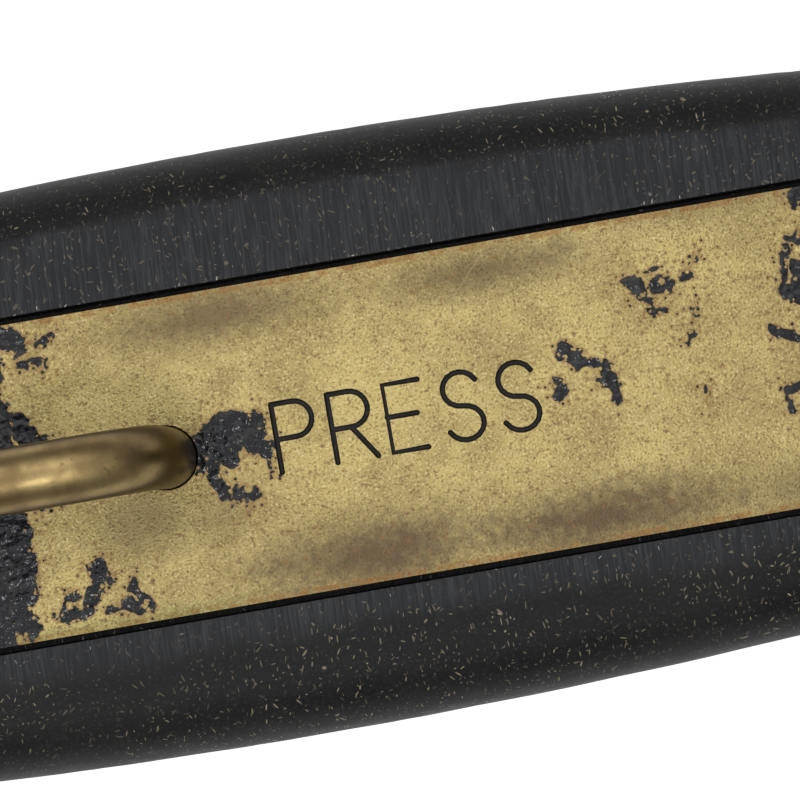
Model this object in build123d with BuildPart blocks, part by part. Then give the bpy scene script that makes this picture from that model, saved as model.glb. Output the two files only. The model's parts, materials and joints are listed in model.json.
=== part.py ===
from build123d import *
import os
from math import asin, cos, degrees, radians, sin, tan

# Push-to-talk telephone handset: a phenolic handle with a receiver and a transmitter cup, a flush
# brass cover plate over the switch pocket, and a bent brass press bar that works the switch.
# Millimetres. +X runs along the grip towards the transmitter, +Y across it and +Z out of the plate.
# The handset lies on the flat of its back, and the origin is the middle of its box on that plane.

os.makedirs("parts", exist_ok=True)

# ---- Driving dimensions -------------------------------------------------------------------------
half_length = 111.5            # middle of the handset to either end

# grip
face_z = 25.0                  # thickness of the grip under the plate
grip_half_width = 14.75        # at its widest, in the middle
belly_radius = 350.0           # bowed sides, in plan
belly_reach = 32.0             # where the bow ends, from the middle
waist_radius = 90.0            # hollow between the bow and the flare, in plan
flare_angle = 6.0              # slope of the sides where they run into the cups
face_edge_radius = 3.8
back_edge_radius = 9.0
back_bend_radius = 60.0        # where the flat back bends up towards each cup
face_bend_radius = 20.0        # where the face rises to each cup
face_bend_gap = 3.0            # face bend to the nearest edge of the cup
junction_radius = 2.5          # moulded fillet between grip and cups
cup_proud = 1.0                # back of each cup stands out of the line of the grip's back

# cups
receiver_tilt = 10.0           # each cup leans towards the middle
transmitter_tilt = 22.0
receiver_radius = 27.0
transmitter_radius = 28.0
receiver_rise = 3.3            # inner edge of the shoulder above the grip's face
transmitter_rise = 5.5
cup_straight = 6.0             # straight wall under the shoulder
cup_corner = 18.0              # rounding of the back
cup_wall = 4.6
cap_wall = 2.6                 # skirt of each cap, which is the step from shoulder to neck
neck_height = 7.0
neck_chamfer = 0.5

# cord inlet at the transmitter end
inlet_length = 6.5             # how far the boss stands out of the cup
inlet_radius = 7.0
inlet_bore = 4.0
inlet_drop = 1.18              # below the middle of the cup's rounding beside it
inlet_edge = 1.5
inlet_junction = 2.0

# cover plate
plate_left = -51.0
plate_right = 45.0
plate_width = 15.3
plate_thickness = 1.6
plate_recess = 0.2             # face of the plate below the face of the grip
plate_gap = 0.35               # all round, in its slot
plate_corner = 3.0
plate_screw_inset = 4.0
plate_screw_shank = 1.5
plate_screw_head = 3.1
plate_screw_cone = 1.4
plate_screw_length = 8.0
screw_slot_width = 0.8
screw_slot_depth = 0.8
insert_radius = 2.6
insert_length = 8.0
insert_wall = 1.2              # moulding left between an insert and the pocket
thread_clearance = 0.05

# switch pocket under the plate
pocket_depth = 17.0            # from the grip's face
pocket_width = 12.7
pocket_corner = 2.0
lead_way_radius = 1.9          # passages for the leads, from the pocket into both cups
lead_way_sill = 0.3            # over the pocket's floor
lead_way_drop = 0.8            # where they open in the rounding of each hollow, from its middle

# press bar
bar_diameter = 3.0
bar_leg_x = -6.4               # leg nearest the middle
bar_span = 31.75               # between the legs
bar_height = 10.5              # top of the bar above the plate
bar_bow = 1.0                  # rise of the bar between its bends
bar_bow_radius = 90.0
bar_bend_radius = 3.5          # middle line of the rod
bar_clearance = 0.08           # running fit of the legs, on the radius
bar_travel = 3.0
bush_radius = 3.25
bush_length = 4.0

# yoke under the plate, which joins the legs and works the contacts
yoke_gap = 0.3                 # yoke below the bushes at rest
yoke_thickness = 1.6
yoke_width = 8.0
yoke_overhang = 3.6            # beyond the far leg
yoke_tail_x = 11.0
yoke_screw_shank = 0.9
yoke_screw_head = 2.1
yoke_screw_head_height = 1.2
yoke_screw_grip = 5.0          # length in the leg

# return spring
spring_radius = 3.0            # middle line of the coil
spring_wire = 0.8
spring_turns = 5
spring_stud_clearance = 0.4
spring_stud_height = 1.4

# moving contact on the yoke's tail
lifter_length = 8.0
lifter_thickness = 2.0
bridge_length = 5.0
bridge_width = 9.6
bridge_thickness = 0.6
contact_dome_radius = 1.2
contact_dome_height = 0.5
lifter_rivet_shank = 0.8
lifter_rivet_head = 1.4
lifter_rivet_head_height = 0.5

# fixed contacts and their pile-up under the plate
stack_x = 17.0
stack_length = 16.0
stack_width = 10.8
stack_base = 2.0
stack_insulator = 1.2
stack_clamp = 0.8
stack_corner = 1.0
stack_screw_x = (21.0, 29.0)
stack_screw_shank = 1.25
stack_screw_head = 2.3
stack_screw_head_height = 1.2
stack_tube_wall = 0.45
leaf_thickness = 0.4
leaf_width = 3.8
leaf_middle_y = 2.7            # middle of each leaf, from the middle of the pocket
leaf_bend_radius = 1.0
leaf_tag = 2.2                 # soldering end beyond the pile-up
leaf_knee = 3.0                # level end of a leaf to the pile-up
button_radius = 1.4
button_height = 0.6
contact_air = 0.1              # between the contacts with the bar right down

# capsules, the same stack in both cups: flange, diaphragm and clamp ring on the neck
flange_inset = 0.8             # flange inside the neck's outer edge
flange_thickness = 1.2
diaphragm_thickness = 0.25
ring_thickness = 1.2
ring_width = 3.0
case_wall = 1.0
case_clearance = 0.8           # capsule in its cup
receiver_case_depth = 17.0     # below the neck's top
transmitter_case_depth = 7.0

# receiver capsule
magnet_width = 6.0
magnet_thickness = 4.0
magnet_gap = 9.0               # mouth of the horseshoe
pole_thickness = 2.0
pole_width = 9.0
pole_gap = 6.0                 # between the two uprights
pole_foot = 1.5
pole_air = 0.3                 # pole tips below the diaphragm
coil_build = 1.9               # winding round the pole
coil_headroom = 1.5            # coils below the diaphragm
magnet_inset = 1.0             # magnet inside the case
stud_radius = 2.0
stud_height = 1.0
stud_x = 4.5                   # studs from the axis of the capsule, along the handset
stud_y = 4.2                   # and across it

# transmitter capsule
chamber_radius = 9.5
chamber_depth = 8.0
carbon_radius = 7.4
carbon_depth = 6.0
carbon_wall = 0.8
cone_depth = 4.6
cone_thickness = 0.35
electrode_radius = 4.0

# contact springs in the floors of the cups
cup_screw_x = -4.0             # from the axis of the cup
spring_leaf_width = 4.0
spring_leaf_thickness = 0.4
spring_leaf_foot = 7.0
spring_leaf_tip = 3.5
spring_leaf_bend = 1.2
cup_screw_shank = 1.2
cup_screw_head = 2.0
cup_screw_head_height = 1.1
cup_screw_length = 3.6
terminal_washer = 2.4
terminal_clearance = 0.1       # washer to the rounding of the cup's floor

# leads from the receiver and the switch to the transmitter cup
lead_diameter = 0.9
lead_pair = 1.44               # between the leads of a pair in their passage
lead_room = 0.4                # beside the pocket's wall, and over its floor
lead_spread = 5.0              # length over which a pair opens out
lead_tag_inset = 0.8           # solder joint, from the end of a leaf
lead_mouth = 1.7               # where a pair closes up, before its passage
lead_landing = 2.0             # straight run up to a terminal
lead_gap = 0.25                # end of a lead to its screw's head
lead_bend = 1.3                # tightest bend

# caps
cap_gap = 0.2                  # above the shoulder
cap_seat_gap = 0.1             # over the clamp ring
cap_thread_gap = 0.15          # round the neck
cap_relief = 0.9               # room over the diaphragm
cap_edge_radius = 4.0
receiver_cap_height = 16.0
receiver_rim = 2.5              # level rim between the dish and the rounded edge
receiver_dish_depth = 3.0
receiver_hole_radius = 1.1
receiver_hole_pitch = 5.5
receiver_hole_rings = 1
transmitter_cap_wall_height = 13.0
transmitter_dome_height = 5.0
transmitter_face_thickness = 2.4
transmitter_hole_radius = 1.2
transmitter_hole_pitch = 6.5
transmitter_hole_rings = 2
first_ring_count = 6           # holes in the first ring, and as many more in each further one

# ---- Sizes and places that follow ----------------------------------------------------------------
plate_length = plate_right - plate_left
plate_x = (plate_left + plate_right) / 2
plate_top = face_z - plate_recess
plate_bottom = plate_top - plate_thickness
plate_screw_x = (plate_left + plate_screw_inset, plate_right - plate_screw_inset)
pocket_floor = face_z - pocket_depth
pocket_left = plate_screw_x[0] + insert_radius + insert_wall
pocket_right = plate_screw_x[1] - insert_radius - insert_wall
pocket_x = (pocket_left + pocket_right) / 2
lead_way_z = pocket_floor + lead_way_sill + lead_way_radius

bar_radius = bar_diameter / 2
bar_far_x = bar_leg_x - bar_span
bar_leg_places = (bar_far_x, bar_leg_x)
bar_middle_x = (bar_leg_x + bar_far_x) / 2
bar_crown_z = plate_top + bar_height - bar_radius
leg_hole = bar_radius + bar_clearance
bush_bottom = plate_bottom - bush_length
yoke_top = bush_bottom - yoke_gap
yoke_bottom = yoke_top - yoke_thickness
spring_inside = spring_radius - spring_wire / 2
spring_stud_radius = spring_inside - spring_stud_clearance

lifter_x = yoke_tail_x - lifter_length / 2
lifter_bottom = yoke_bottom - lifter_thickness
bridge_bottom = lifter_bottom - bridge_thickness
dome_bottom = bridge_bottom - contact_dome_height
button_top = dome_bottom - bar_travel - contact_air
leaf_low = button_top - button_height - leaf_thickness / 2
stack_end = stack_x + stack_length
stack_middle = stack_x + stack_length / 2
base_bottom = plate_bottom - stack_base
leaf_high = base_bottom - stack_insulator - leaf_thickness / 2
clamp_top = leaf_high - leaf_thickness / 2 - stack_insulator
clamp_bottom = clamp_top - stack_clamp
stack_tube_radius = stack_screw_shank + stack_tube_wall

cap_bottom_z = cap_gap
flange_top = neck_height + flange_thickness
ring_bottom = flange_top + diaphragm_thickness
ring_top = ring_bottom + ring_thickness
cap_seat = ring_top + cap_seat_gap
cap_ceiling = cap_seat + cap_relief
cavity_corner = cup_corner - cup_wall
cup_floor = -(cup_straight + cavity_corner)
cup_screw_places = [(cup_screw_x, side * stud_y) for side in (-1, 1)]
terminal_x = transmitter_radius - cup_corner - terminal_washer - terminal_clearance
terminal_places = [(side * terminal_x, 0) for side in (-1, 1)]

# ---- Cup frames ----------------------------------------------------------------------------------


def cup_reach(radius, tilt):
    """How far a leaning cup reaches beyond the middle of its shoulder, along the handset."""
    lean = radians(tilt)
    return cup_straight * sin(lean) + (radius - cup_corner) * cos(lean) + cup_corner


def cup_plane(x, z, lean):
    """Plane of a cup's shoulder, whose normal leans by so many degrees towards +X."""
    angle = radians(lean)
    return Plane(
        origin=(x, 0, z), x_dir=(cos(angle), 0, -sin(angle)), z_dir=(sin(angle), 0, cos(angle))
    )


def section(cup):
    """Plane across a cup: x is the distance from its axis and y the height along it."""
    return Plane(origin=cup.origin, x_dir=cup.y_dir, z_dir=cup.x_dir)


def side_view(cup):
    """Plane along the handset through a cup's axis, with the same x and y."""
    return Plane(origin=cup.origin, x_dir=cup.x_dir, z_dir=-cup.y_dir)


def cup_axis(cup):
    return Axis(cup.origin, cup.z_dir)


def point_xz(plane, along, up):
    """World x and z of a point in a cup's own side view."""
    place = plane.origin + plane.x_dir * along + plane.z_dir * up
    return (place.X, place.Z)


receiver_cup = cup_plane(
    -half_length + cup_reach(receiver_radius, receiver_tilt),
    face_z + receiver_rise + receiver_radius * sin(radians(receiver_tilt)),
    receiver_tilt,
)
transmitter_cup = cup_plane(
    half_length - inlet_length - cup_reach(transmitter_radius, transmitter_tilt),
    face_z + transmitter_rise + transmitter_radius * sin(radians(transmitter_tilt)),
    -transmitter_tilt,
)
cups = ((receiver_cup, receiver_radius), (transmitter_cup, transmitter_radius))

# ---- Profiles used more than once ----------------------------------------------------------------


def cup_profile(radius, top, corner):
    """Half section of a cup: flat top, straight wall, quarter-round corner and flat back."""
    with BuildSketch() as profile:
        with BuildLine():
            lid = Line((0, top), (radius, top))
            wall = Line(lid @ 1, (radius, -cup_straight))
            turn = JernArc(wall @ 1, (0, -1), corner, -90)
            back = Line(turn @ 1, (0, -cup_straight - corner))
            Line(back @ 1, lid @ 0)
        make_face()
    return profile.sketch


def outline(*points):
    """Closed straight-sided profile."""
    with BuildSketch() as profile:
        with BuildLine():
            Polyline(*points, close=True)
        make_face()
    return profile.sketch


# ---- Handle --------------------------------------------------------------------------------------
back_depth = cup_straight + cup_corner - cup_proud
receiver_back = point_xz(receiver_cup, 0, -back_depth)
transmitter_back = point_xz(transmitter_cup, 0, -back_depth)
receiver_bend = (receiver_back[0] + receiver_back[1] / tan(radians(receiver_tilt)), 0)
transmitter_bend = (transmitter_back[0] - transmitter_back[1] / tan(radians(transmitter_tilt)), 0)
receiver_face = point_xz(receiver_cup, 0, -cup_straight)
transmitter_face = point_xz(transmitter_cup, 0, -cup_straight)
receiver_edge_x = point_xz(receiver_cup, receiver_radius, 0)[0]
transmitter_edge_x = point_xz(transmitter_cup, -transmitter_radius, 0)[0]
belly_angle = degrees(asin(belly_reach / belly_radius))

# middles of the rounded corners nearest the pocket and nearest the cord, in the side view
receiver_turn = point_xz(receiver_cup, receiver_radius - cup_corner, -cup_straight)
transmitter_turn = point_xz(transmitter_cup, cup_corner - transmitter_radius, -cup_straight)
inlet_turn = point_xz(transmitter_cup, transmitter_radius - cup_corner, -cup_straight)
inlet_z = inlet_turn[1] - inlet_drop


def is_side(edge):
    return abs(edge.center().Y) > 1


def lead_way(start_x, turn):
    """Both ends of the middle of a lead passage, from the pocket's end into a cup."""
    start = Vector(start_x, 0, lead_way_z)
    return start, Vector(turn[0], 0, turn[1] - lead_way_drop * cavity_corner)


receiver_way = lead_way(pocket_left, receiver_turn)
transmitter_way = lead_way(pocket_right, transmitter_turn)


with BuildPart() as handle:
    # grip: the side view, cut to the bowed plan view
    with BuildSketch(Plane.XZ):
        with BuildLine():
            back_line = FilletPolyline(
                receiver_back, receiver_bend, transmitter_bend, transmitter_back,
                radius=back_bend_radius,
            )
            face_line = FilletPolyline(
                transmitter_face,
                (transmitter_edge_x - face_bend_gap, face_z),
                (receiver_edge_x + face_bend_gap, face_z),
                receiver_face,
                radius=face_bend_radius,
            )
            Line(back_line @ 1, face_line @ 0)
            Line(face_line @ 1, back_line @ 0)
        make_face()
    extrude(amount=2 * grip_half_width, both=True)
    with BuildSketch(Plane.XY):
        with BuildLine():
            belly = JernArc((0, grip_half_width), (1, 0), belly_radius, -belly_angle)
            waist = JernArc(belly @ 1, belly % 1, waist_radius, belly_angle + flare_angle)
            flare_rise = (half_length - (waist @ 1).X) * tan(radians(flare_angle))
            flare = Line(waist @ 1, (half_length, (waist @ 1).Y + flare_rise))
            Line(flare @ 1, (half_length, 0))
            mirror(about=Plane.YZ)
            mirror(about=Plane.XZ)
        make_face()
    extrude(amount=half_length, mode=Mode.INTERSECT)
    fillet(handle.faces().filter_by(lambda f: f.normal_at().Z > 0.5).edges().filter_by(is_side),
           face_edge_radius)
    fillet(handle.faces().filter_by(lambda f: f.normal_at().Z < -0.5).edges().filter_by(is_side),
           back_edge_radius)

    # cups, and the boss for the cord
    for cup, radius in cups:
        with BuildSketch(section(cup)):
            add(cup_profile(radius, 0, cup_corner))
        revolve(axis=cup_axis(cup))
        fillet(handle.edges(Select.NEW), junction_radius)
    with BuildSketch(Plane.YZ.offset(inlet_turn[0])):
        with Locations((0, inlet_z)):
            Circle(inlet_radius)
    extrude(amount=half_length - inlet_turn[0])
    fillet(handle.edges(Select.NEW), inlet_junction)
    fillet(handle.faces().sort_by(Axis.X)[-1].edges(), inlet_edge)

    # threaded necks and the hollows inside the cups
    for cup, radius in cups:
        with Locations(cup):
            Cylinder(radius - cap_wall, neck_height, align=(Align.CENTER, Align.CENTER, Align.MIN))
        rings = handle.edges(Select.LAST).filter_by(GeomType.CIRCLE)
        chamfer(rings.sort_by(cup_axis(cup))[-1], neck_chamfer)
        with BuildSketch(section(cup)):
            add(cup_profile(radius - cup_wall, neck_height, cavity_corner))
        revolve(axis=cup_axis(cup), mode=Mode.SUBTRACT)
        with Locations(cup.offset(cup_floor)):
            with Locations(*cup_screw_places):
                Cylinder(cup_screw_shank, 2 * cup_screw_length, mode=Mode.SUBTRACT)
    with Locations(transmitter_cup.offset(cup_floor)):
        with Locations(*terminal_places):
            Cylinder(cup_screw_shank, 2 * cup_screw_length, mode=Mode.SUBTRACT)
    with BuildSketch(Plane.YZ.offset(inlet_turn[0] + cavity_corner / 2)):
        with Locations((0, inlet_z)):
            Circle(inlet_bore)
    extrude(amount=half_length, mode=Mode.SUBTRACT)

    # slot for the plate, pocket, holes for the inserts and passages for the leads
    with BuildSketch(Plane.XY.offset(face_z)):
        with Locations((plate_x, 0)):
            RectangleRounded(plate_length + 2 * plate_gap, plate_width + 2 * plate_gap,
                             plate_corner + plate_gap)
    extrude(amount=plate_bottom - face_z, mode=Mode.SUBTRACT)
    with BuildSketch(Plane.XY.offset(plate_bottom)):
        with Locations((pocket_x, 0)):
            RectangleRounded(pocket_right - pocket_left, pocket_width, pocket_corner)
    extrude(amount=pocket_floor - plate_bottom, mode=Mode.SUBTRACT)
    with Locations(*[(x, 0, plate_bottom) for x in plate_screw_x]):
        Cylinder(insert_radius, 2 * insert_length, mode=Mode.SUBTRACT)
    for way_start, way_end in (receiver_way, transmitter_way):
        way = Plane(origin=way_start, z_dir=way_end - way_start)
        with BuildSketch(way.offset(-lead_way_radius)):
            Circle(lead_way_radius)
        extrude(amount=(way_end - way_start).length + lead_way_radius, mode=Mode.SUBTRACT)

    # stub that holds the foot of the return spring
    with Locations((bar_middle_x, 0, pocket_floor)):
        Cylinder(spring_stud_radius, spring_stud_height,
                 align=(Align.CENTER, Align.CENTER, Align.MIN))
handle.part.label = "handle"
export_step(handle.part, "parts/handle.step")

with BuildPart() as plate_inserts:
    with Locations(*[(x, 0, plate_bottom) for x in plate_screw_x]):
        Cylinder(insert_radius, insert_length, align=(Align.CENTER, Align.CENTER, Align.MAX))
        Hole(plate_screw_shank + thread_clearance)
plate_inserts.part.label = "plate_inserts"
export_step(plate_inserts.part, "parts/plate_inserts.step")

# ---- Cover plate and what is brazed under it -----------------------------------------------------
with BuildPart() as cover_plate:
    with BuildSketch(Plane.XY.offset(plate_top)):
        with Locations((plate_x, 0)):
            RectangleRounded(plate_length, plate_width, plate_corner)
    extrude(amount=-plate_thickness)
    with Locations(*[(x, 0, plate_top) for x in plate_screw_x]):
        Cone(plate_screw_shank, plate_screw_head, plate_screw_cone,
             align=(Align.CENTER, Align.CENTER, Align.MAX), mode=Mode.SUBTRACT)
        Hole(plate_screw_shank + thread_clearance, 2 * plate_thickness)
    with Locations(*[(x, 0, plate_top) for x in bar_leg_places]):
        Hole(leg_hole, 2 * plate_thickness)
cover_plate.part.label = "cover_plate"
export_step(cover_plate.part, "parts/cover_plate.step")

with BuildPart() as plate_screws:
    with Locations(*[(x, 0, plate_top) for x in plate_screw_x]):
        Cone(plate_screw_shank, plate_screw_head, plate_screw_cone,
             align=(Align.CENTER, Align.CENTER, Align.MAX))
        Cylinder(plate_screw_shank, plate_screw_length,
                 align=(Align.CENTER, Align.CENTER, Align.MAX))
        Box(2 * plate_screw_head, screw_slot_width, 2 * screw_slot_depth, mode=Mode.SUBTRACT)
plate_screws.part.label = "plate_screws"
export_step(plate_screws.part, "parts/plate_screws.step")

with BuildPart() as leg_bushes:
    with Locations(*[(x, 0, plate_bottom) for x in bar_leg_places]):
        Cylinder(bush_radius, bush_length, align=(Align.CENTER, Align.CENTER, Align.MAX))
        Hole(leg_hole)
leg_bushes.part.label = "leg_bushes"
export_step(leg_bushes.part, "parts/leg_bushes.step")

# ---- Press bar and yoke --------------------------------------------------------------------------
with BuildPart() as press_bar:
    with BuildLine(Plane.XZ) as bar_path:
        FilletPolyline(
            (bar_far_x, yoke_top),
            (bar_far_x, bar_crown_z - bar_bow),
            (bar_middle_x, bar_crown_z),
            (bar_leg_x, bar_crown_z - bar_bow),
            (bar_leg_x, yoke_top),
            radius=(bar_bend_radius, bar_bow_radius, bar_bend_radius),
        )
    with BuildSketch(Plane.XY.offset(yoke_top)):
        with Locations((bar_far_x, 0)):
            Circle(bar_radius)
    sweep(path=bar_path.line)
    with Locations(*[(x, 0, yoke_top) for x in bar_leg_places]):
        Cylinder(yoke_screw_shank, 2 * yoke_screw_grip, mode=Mode.SUBTRACT)
press_bar.part.label = "press_bar"
export_step(press_bar.part, "parts/press_bar.step")

yoke_left = bar_far_x - yoke_overhang
with BuildPart() as yoke:
    with BuildSketch(Plane.XY.offset(yoke_top)):
        with Locations(((yoke_left + yoke_tail_x) / 2, 0)):
            RectangleRounded(yoke_tail_x - yoke_left, yoke_width, yoke_width / 4)
    extrude(amount=-yoke_thickness)
    with Locations(*[(x, 0, yoke_top) for x in bar_leg_places]):
        Hole(yoke_screw_shank, 2 * yoke_thickness)
    with Locations((lifter_x, 0, yoke_top)):
        Hole(lifter_rivet_shank, 2 * yoke_thickness)
    with Locations((bar_middle_x, 0, yoke_bottom)):
        Cylinder(spring_stud_radius, spring_stud_height,
                 align=(Align.CENTER, Align.CENTER, Align.MAX))
yoke.part.label = "yoke"
export_step(yoke.part, "parts/yoke.step")

with BuildPart() as yoke_screws:
    with Locations(*[(x, 0, yoke_bottom) for x in bar_leg_places]):
        Cylinder(yoke_screw_head, yoke_screw_head_height,
                 align=(Align.CENTER, Align.CENTER, Align.MAX))
        Cylinder(yoke_screw_shank, yoke_thickness + yoke_screw_grip,
                 align=(Align.CENTER, Align.CENTER, Align.MIN))
    with Locations(*[(x, 0, yoke_bottom - yoke_screw_head_height) for x in bar_leg_places]):
        Box(2 * yoke_screw_head, screw_slot_width, screw_slot_depth, mode=Mode.SUBTRACT)
yoke_screws.part.label = "yoke_screws"
export_step(yoke_screws.part, "parts/yoke_screws.step")

with BuildPart() as return_spring:
    coil_height = yoke_bottom - pocket_floor - spring_wire
    with BuildLine() as coil:
        Helix(coil_height / spring_turns, coil_height, spring_radius,
              center=(bar_middle_x, 0, pocket_floor + spring_wire / 2))
    with BuildSketch(Plane(origin=coil.line @ 0, z_dir=coil.line % 0)):
        Circle(spring_wire / 2)
    sweep(path=coil.line, is_frenet=True)
return_spring.part.label = "return_spring"
export_step(return_spring.part, "parts/return_spring.step")

# ---- Moving contact ------------------------------------------------------------------------------
contact_places = [(lifter_x, side * leaf_middle_y) for side in (-1, 1)]

with BuildPart() as lifter:
    with Locations((lifter_x, 0, yoke_bottom)):
        Box(lifter_length, yoke_width, lifter_thickness,
            align=(Align.CENTER, Align.CENTER, Align.MAX))
        Hole(lifter_rivet_shank, 2 * lifter_thickness)
lifter.part.label = "lifter"
export_step(lifter.part, "parts/lifter.step")

with BuildPart() as contact_bridge:
    with BuildSketch(Plane.XY.offset(lifter_bottom)):
        with Locations((lifter_x, 0)):
            RectangleRounded(bridge_length, bridge_width, bridge_thickness)
    extrude(amount=-bridge_thickness)
    with BuildSketch(Plane.XY.offset(bridge_bottom)):
        with Locations(*contact_places):
            Circle(contact_dome_radius)
    extrude(amount=-contact_dome_height)
    fillet(contact_bridge.faces().sort_by(Axis.Z)[:2].edges(), contact_dome_height / 2)
    with Locations((lifter_x, 0, lifter_bottom)):
        Hole(lifter_rivet_shank, 2 * bridge_thickness)
contact_bridge.part.label = "contact_bridge"
export_step(contact_bridge.part, "parts/contact_bridge.step")

with BuildPart() as lifter_rivet:
    with Locations((lifter_x, 0, bridge_bottom)):
        Cylinder(lifter_rivet_shank, yoke_top - bridge_bottom,
                 align=(Align.CENTER, Align.CENTER, Align.MIN))
        Cylinder(lifter_rivet_head, lifter_rivet_head_height,
                 align=(Align.CENTER, Align.CENTER, Align.MAX))
    with Locations((lifter_x, 0, yoke_top)):
        Cylinder(lifter_rivet_head, lifter_rivet_head_height,
                 align=(Align.CENTER, Align.CENTER, Align.MIN))
lifter_rivet.part.label = "lifter_rivet"
export_step(lifter_rivet.part, "parts/lifter_rivet.step")

# ---- Fixed contacts and their pile-up ------------------------------------------------------------


def stack_slab(top, thickness, hole):
    """One layer of the pile-up, with both screw holes."""
    with BuildPart() as slab:
        with BuildSketch(Plane.XY.offset(top)):
            with Locations((stack_middle, 0)):
                RectangleRounded(stack_length, stack_width, stack_corner)
            with Locations(*[(x, 0) for x in stack_screw_x]):
                Circle(hole, mode=Mode.SUBTRACT)
        extrude(amount=-thickness)
    return slab.part


with BuildPart() as switch_base:
    add(stack_slab(plate_bottom, stack_base, stack_screw_shank))
switch_base.part.label = "switch_base"
export_step(switch_base.part, "parts/switch_base.step")

with BuildPart() as switch_insulators:
    add(stack_slab(base_bottom, stack_insulator, stack_tube_radius))
    add(stack_slab(clamp_top + stack_insulator, stack_insulator, stack_tube_radius))
switch_insulators.part.label = "switch_insulators"
export_step(switch_insulators.part, "parts/switch_insulators.step")

with BuildPart() as clamp_plate:
    add(stack_slab(clamp_top, stack_clamp, stack_screw_shank))
clamp_plate.part.label = "clamp_plate"
export_step(clamp_plate.part, "parts/clamp_plate.step")

with BuildPart() as stack_tubes:
    with Locations(*[(x, 0, base_bottom) for x in stack_screw_x]):
        Cylinder(stack_tube_radius, base_bottom - clamp_top,
                 align=(Align.CENTER, Align.CENTER, Align.MAX))
        Hole(stack_screw_shank)
stack_tubes.part.label = "stack_tubes"
export_step(stack_tubes.part, "parts/stack_tubes.step")

with BuildPart() as stack_screws:
    with Locations(*[(x, 0, clamp_bottom) for x in stack_screw_x]):
        Cylinder(stack_screw_head, stack_screw_head_height,
                 align=(Align.CENTER, Align.CENTER, Align.MAX))
        Cylinder(stack_screw_shank, plate_bottom - clamp_bottom,
                 align=(Align.CENTER, Align.CENTER, Align.MIN))
    with Locations(*[(x, 0, clamp_bottom - stack_screw_head_height) for x in stack_screw_x]):
        Box(screw_slot_width, 2 * stack_screw_head, screw_slot_depth, mode=Mode.SUBTRACT)
stack_screws.part.label = "stack_screws"
export_step(stack_screws.part, "parts/stack_screws.step")

with BuildPart() as contact_leaves:
    with BuildSketch(Plane.XZ):
        with BuildLine() as leaf_line:
            FilletPolyline(
                (lifter_x - bridge_length / 2, leaf_low),
                (stack_x - leaf_knee, leaf_low),
                (stack_x - leaf_knee / 3, leaf_high),
                (stack_end + leaf_tag, leaf_high),
                radius=leaf_bend_radius,
            )
        trace(line_width=leaf_thickness)
    extrude(amount=leaf_middle_y + leaf_width / 2, both=True)
    with Locations((stack_middle, 0, pocket_floor)):
        Box(plate_length, 2 * leaf_middle_y - leaf_width, 2 * face_z, mode=Mode.SUBTRACT)
    with Locations(*[(x, 0, leaf_high) for x in stack_screw_x]):
        Cylinder(stack_tube_radius, 2 * leaf_thickness, mode=Mode.SUBTRACT)
contact_leaves.part.label = "contact_leaves"
export_step(contact_leaves.part, "parts/contact_leaves.step")

with BuildPart() as contact_buttons:
    with BuildSketch(Plane.XY.offset(button_top)):
        with Locations(*contact_places):
            Circle(button_radius)
    extrude(amount=-button_height)
contact_buttons.part.label = "contact_buttons"
export_step(contact_buttons.part, "parts/contact_buttons.step")

# ---- Pieces that both cups have ------------------------------------------------------------------


def flange_radius(radius):
    return radius - cap_wall - flange_inset


def case_radius(radius):
    return radius - cup_wall - case_clearance


def diaphragm_disc(cup, radius):
    with BuildPart() as disc:
        with Locations(cup.offset(flange_top)):
            Cylinder(flange_radius(radius), diaphragm_thickness,
                     align=(Align.CENTER, Align.CENTER, Align.MIN))
    return disc.part


def clamp_ring(cup, radius):
    with BuildPart() as ring:
        with Locations(cup.offset(ring_bottom)):
            Cylinder(flange_radius(radius), ring_thickness,
                     align=(Align.CENTER, Align.CENTER, Align.MIN))
            Hole(flange_radius(radius) - ring_width, 2 * ring_thickness)
    return ring.part


def studs(cup, case_bottom):
    """Contact rivets in the bottom of a capsule, with a head inside and outside."""
    with BuildPart() as rivets:
        with Locations(cup.offset(case_bottom)):
            with Locations(*[(stud_x, side * stud_y) for side in (-1, 1)]):
                Cylinder(stud_radius, stud_height, align=(Align.CENTER, Align.CENTER, Align.MAX))
                Cylinder(stud_radius / 2, case_wall, align=(Align.CENTER, Align.CENTER, Align.MIN))
        with Locations(cup.offset(case_bottom + case_wall)):
            with Locations(*[(stud_x, side * stud_y) for side in (-1, 1)]):
                Cylinder(stud_radius, stud_height / 2,
                         align=(Align.CENTER, Align.CENTER, Align.MIN))
    return rivets.part


def contact_springs(cup, stud_bottom):
    """Two bent leaves, screwed to the floor of a cup, that press on the capsule's studs."""
    foot = cup_floor + spring_leaf_thickness / 2
    tip = stud_bottom - spring_leaf_thickness / 2
    toe = cup_screw_x - spring_leaf_foot / 3
    with BuildPart() as leaves:
        with BuildSketch(side_view(cup)):
            with BuildLine():
                FilletPolyline(
                    (toe, foot),
                    (toe + spring_leaf_foot, foot),
                    (stud_x - spring_leaf_tip / 2, tip),
                    (stud_x + spring_leaf_tip / 2, tip),
                    radius=spring_leaf_bend,
                )
            trace(line_width=spring_leaf_thickness)
        extrude(amount=stud_y + spring_leaf_width / 2, both=True)
        with Locations(cup):
            Box(2 * cup_corner, 2 * stud_y - spring_leaf_width, 4 * cup_corner, mode=Mode.SUBTRACT)
        with Locations(cup.offset(cup_floor)):
            with Locations(*cup_screw_places):
                Cylinder(cup_screw_shank, 4 * spring_leaf_thickness, mode=Mode.SUBTRACT)
    return leaves.part


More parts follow.
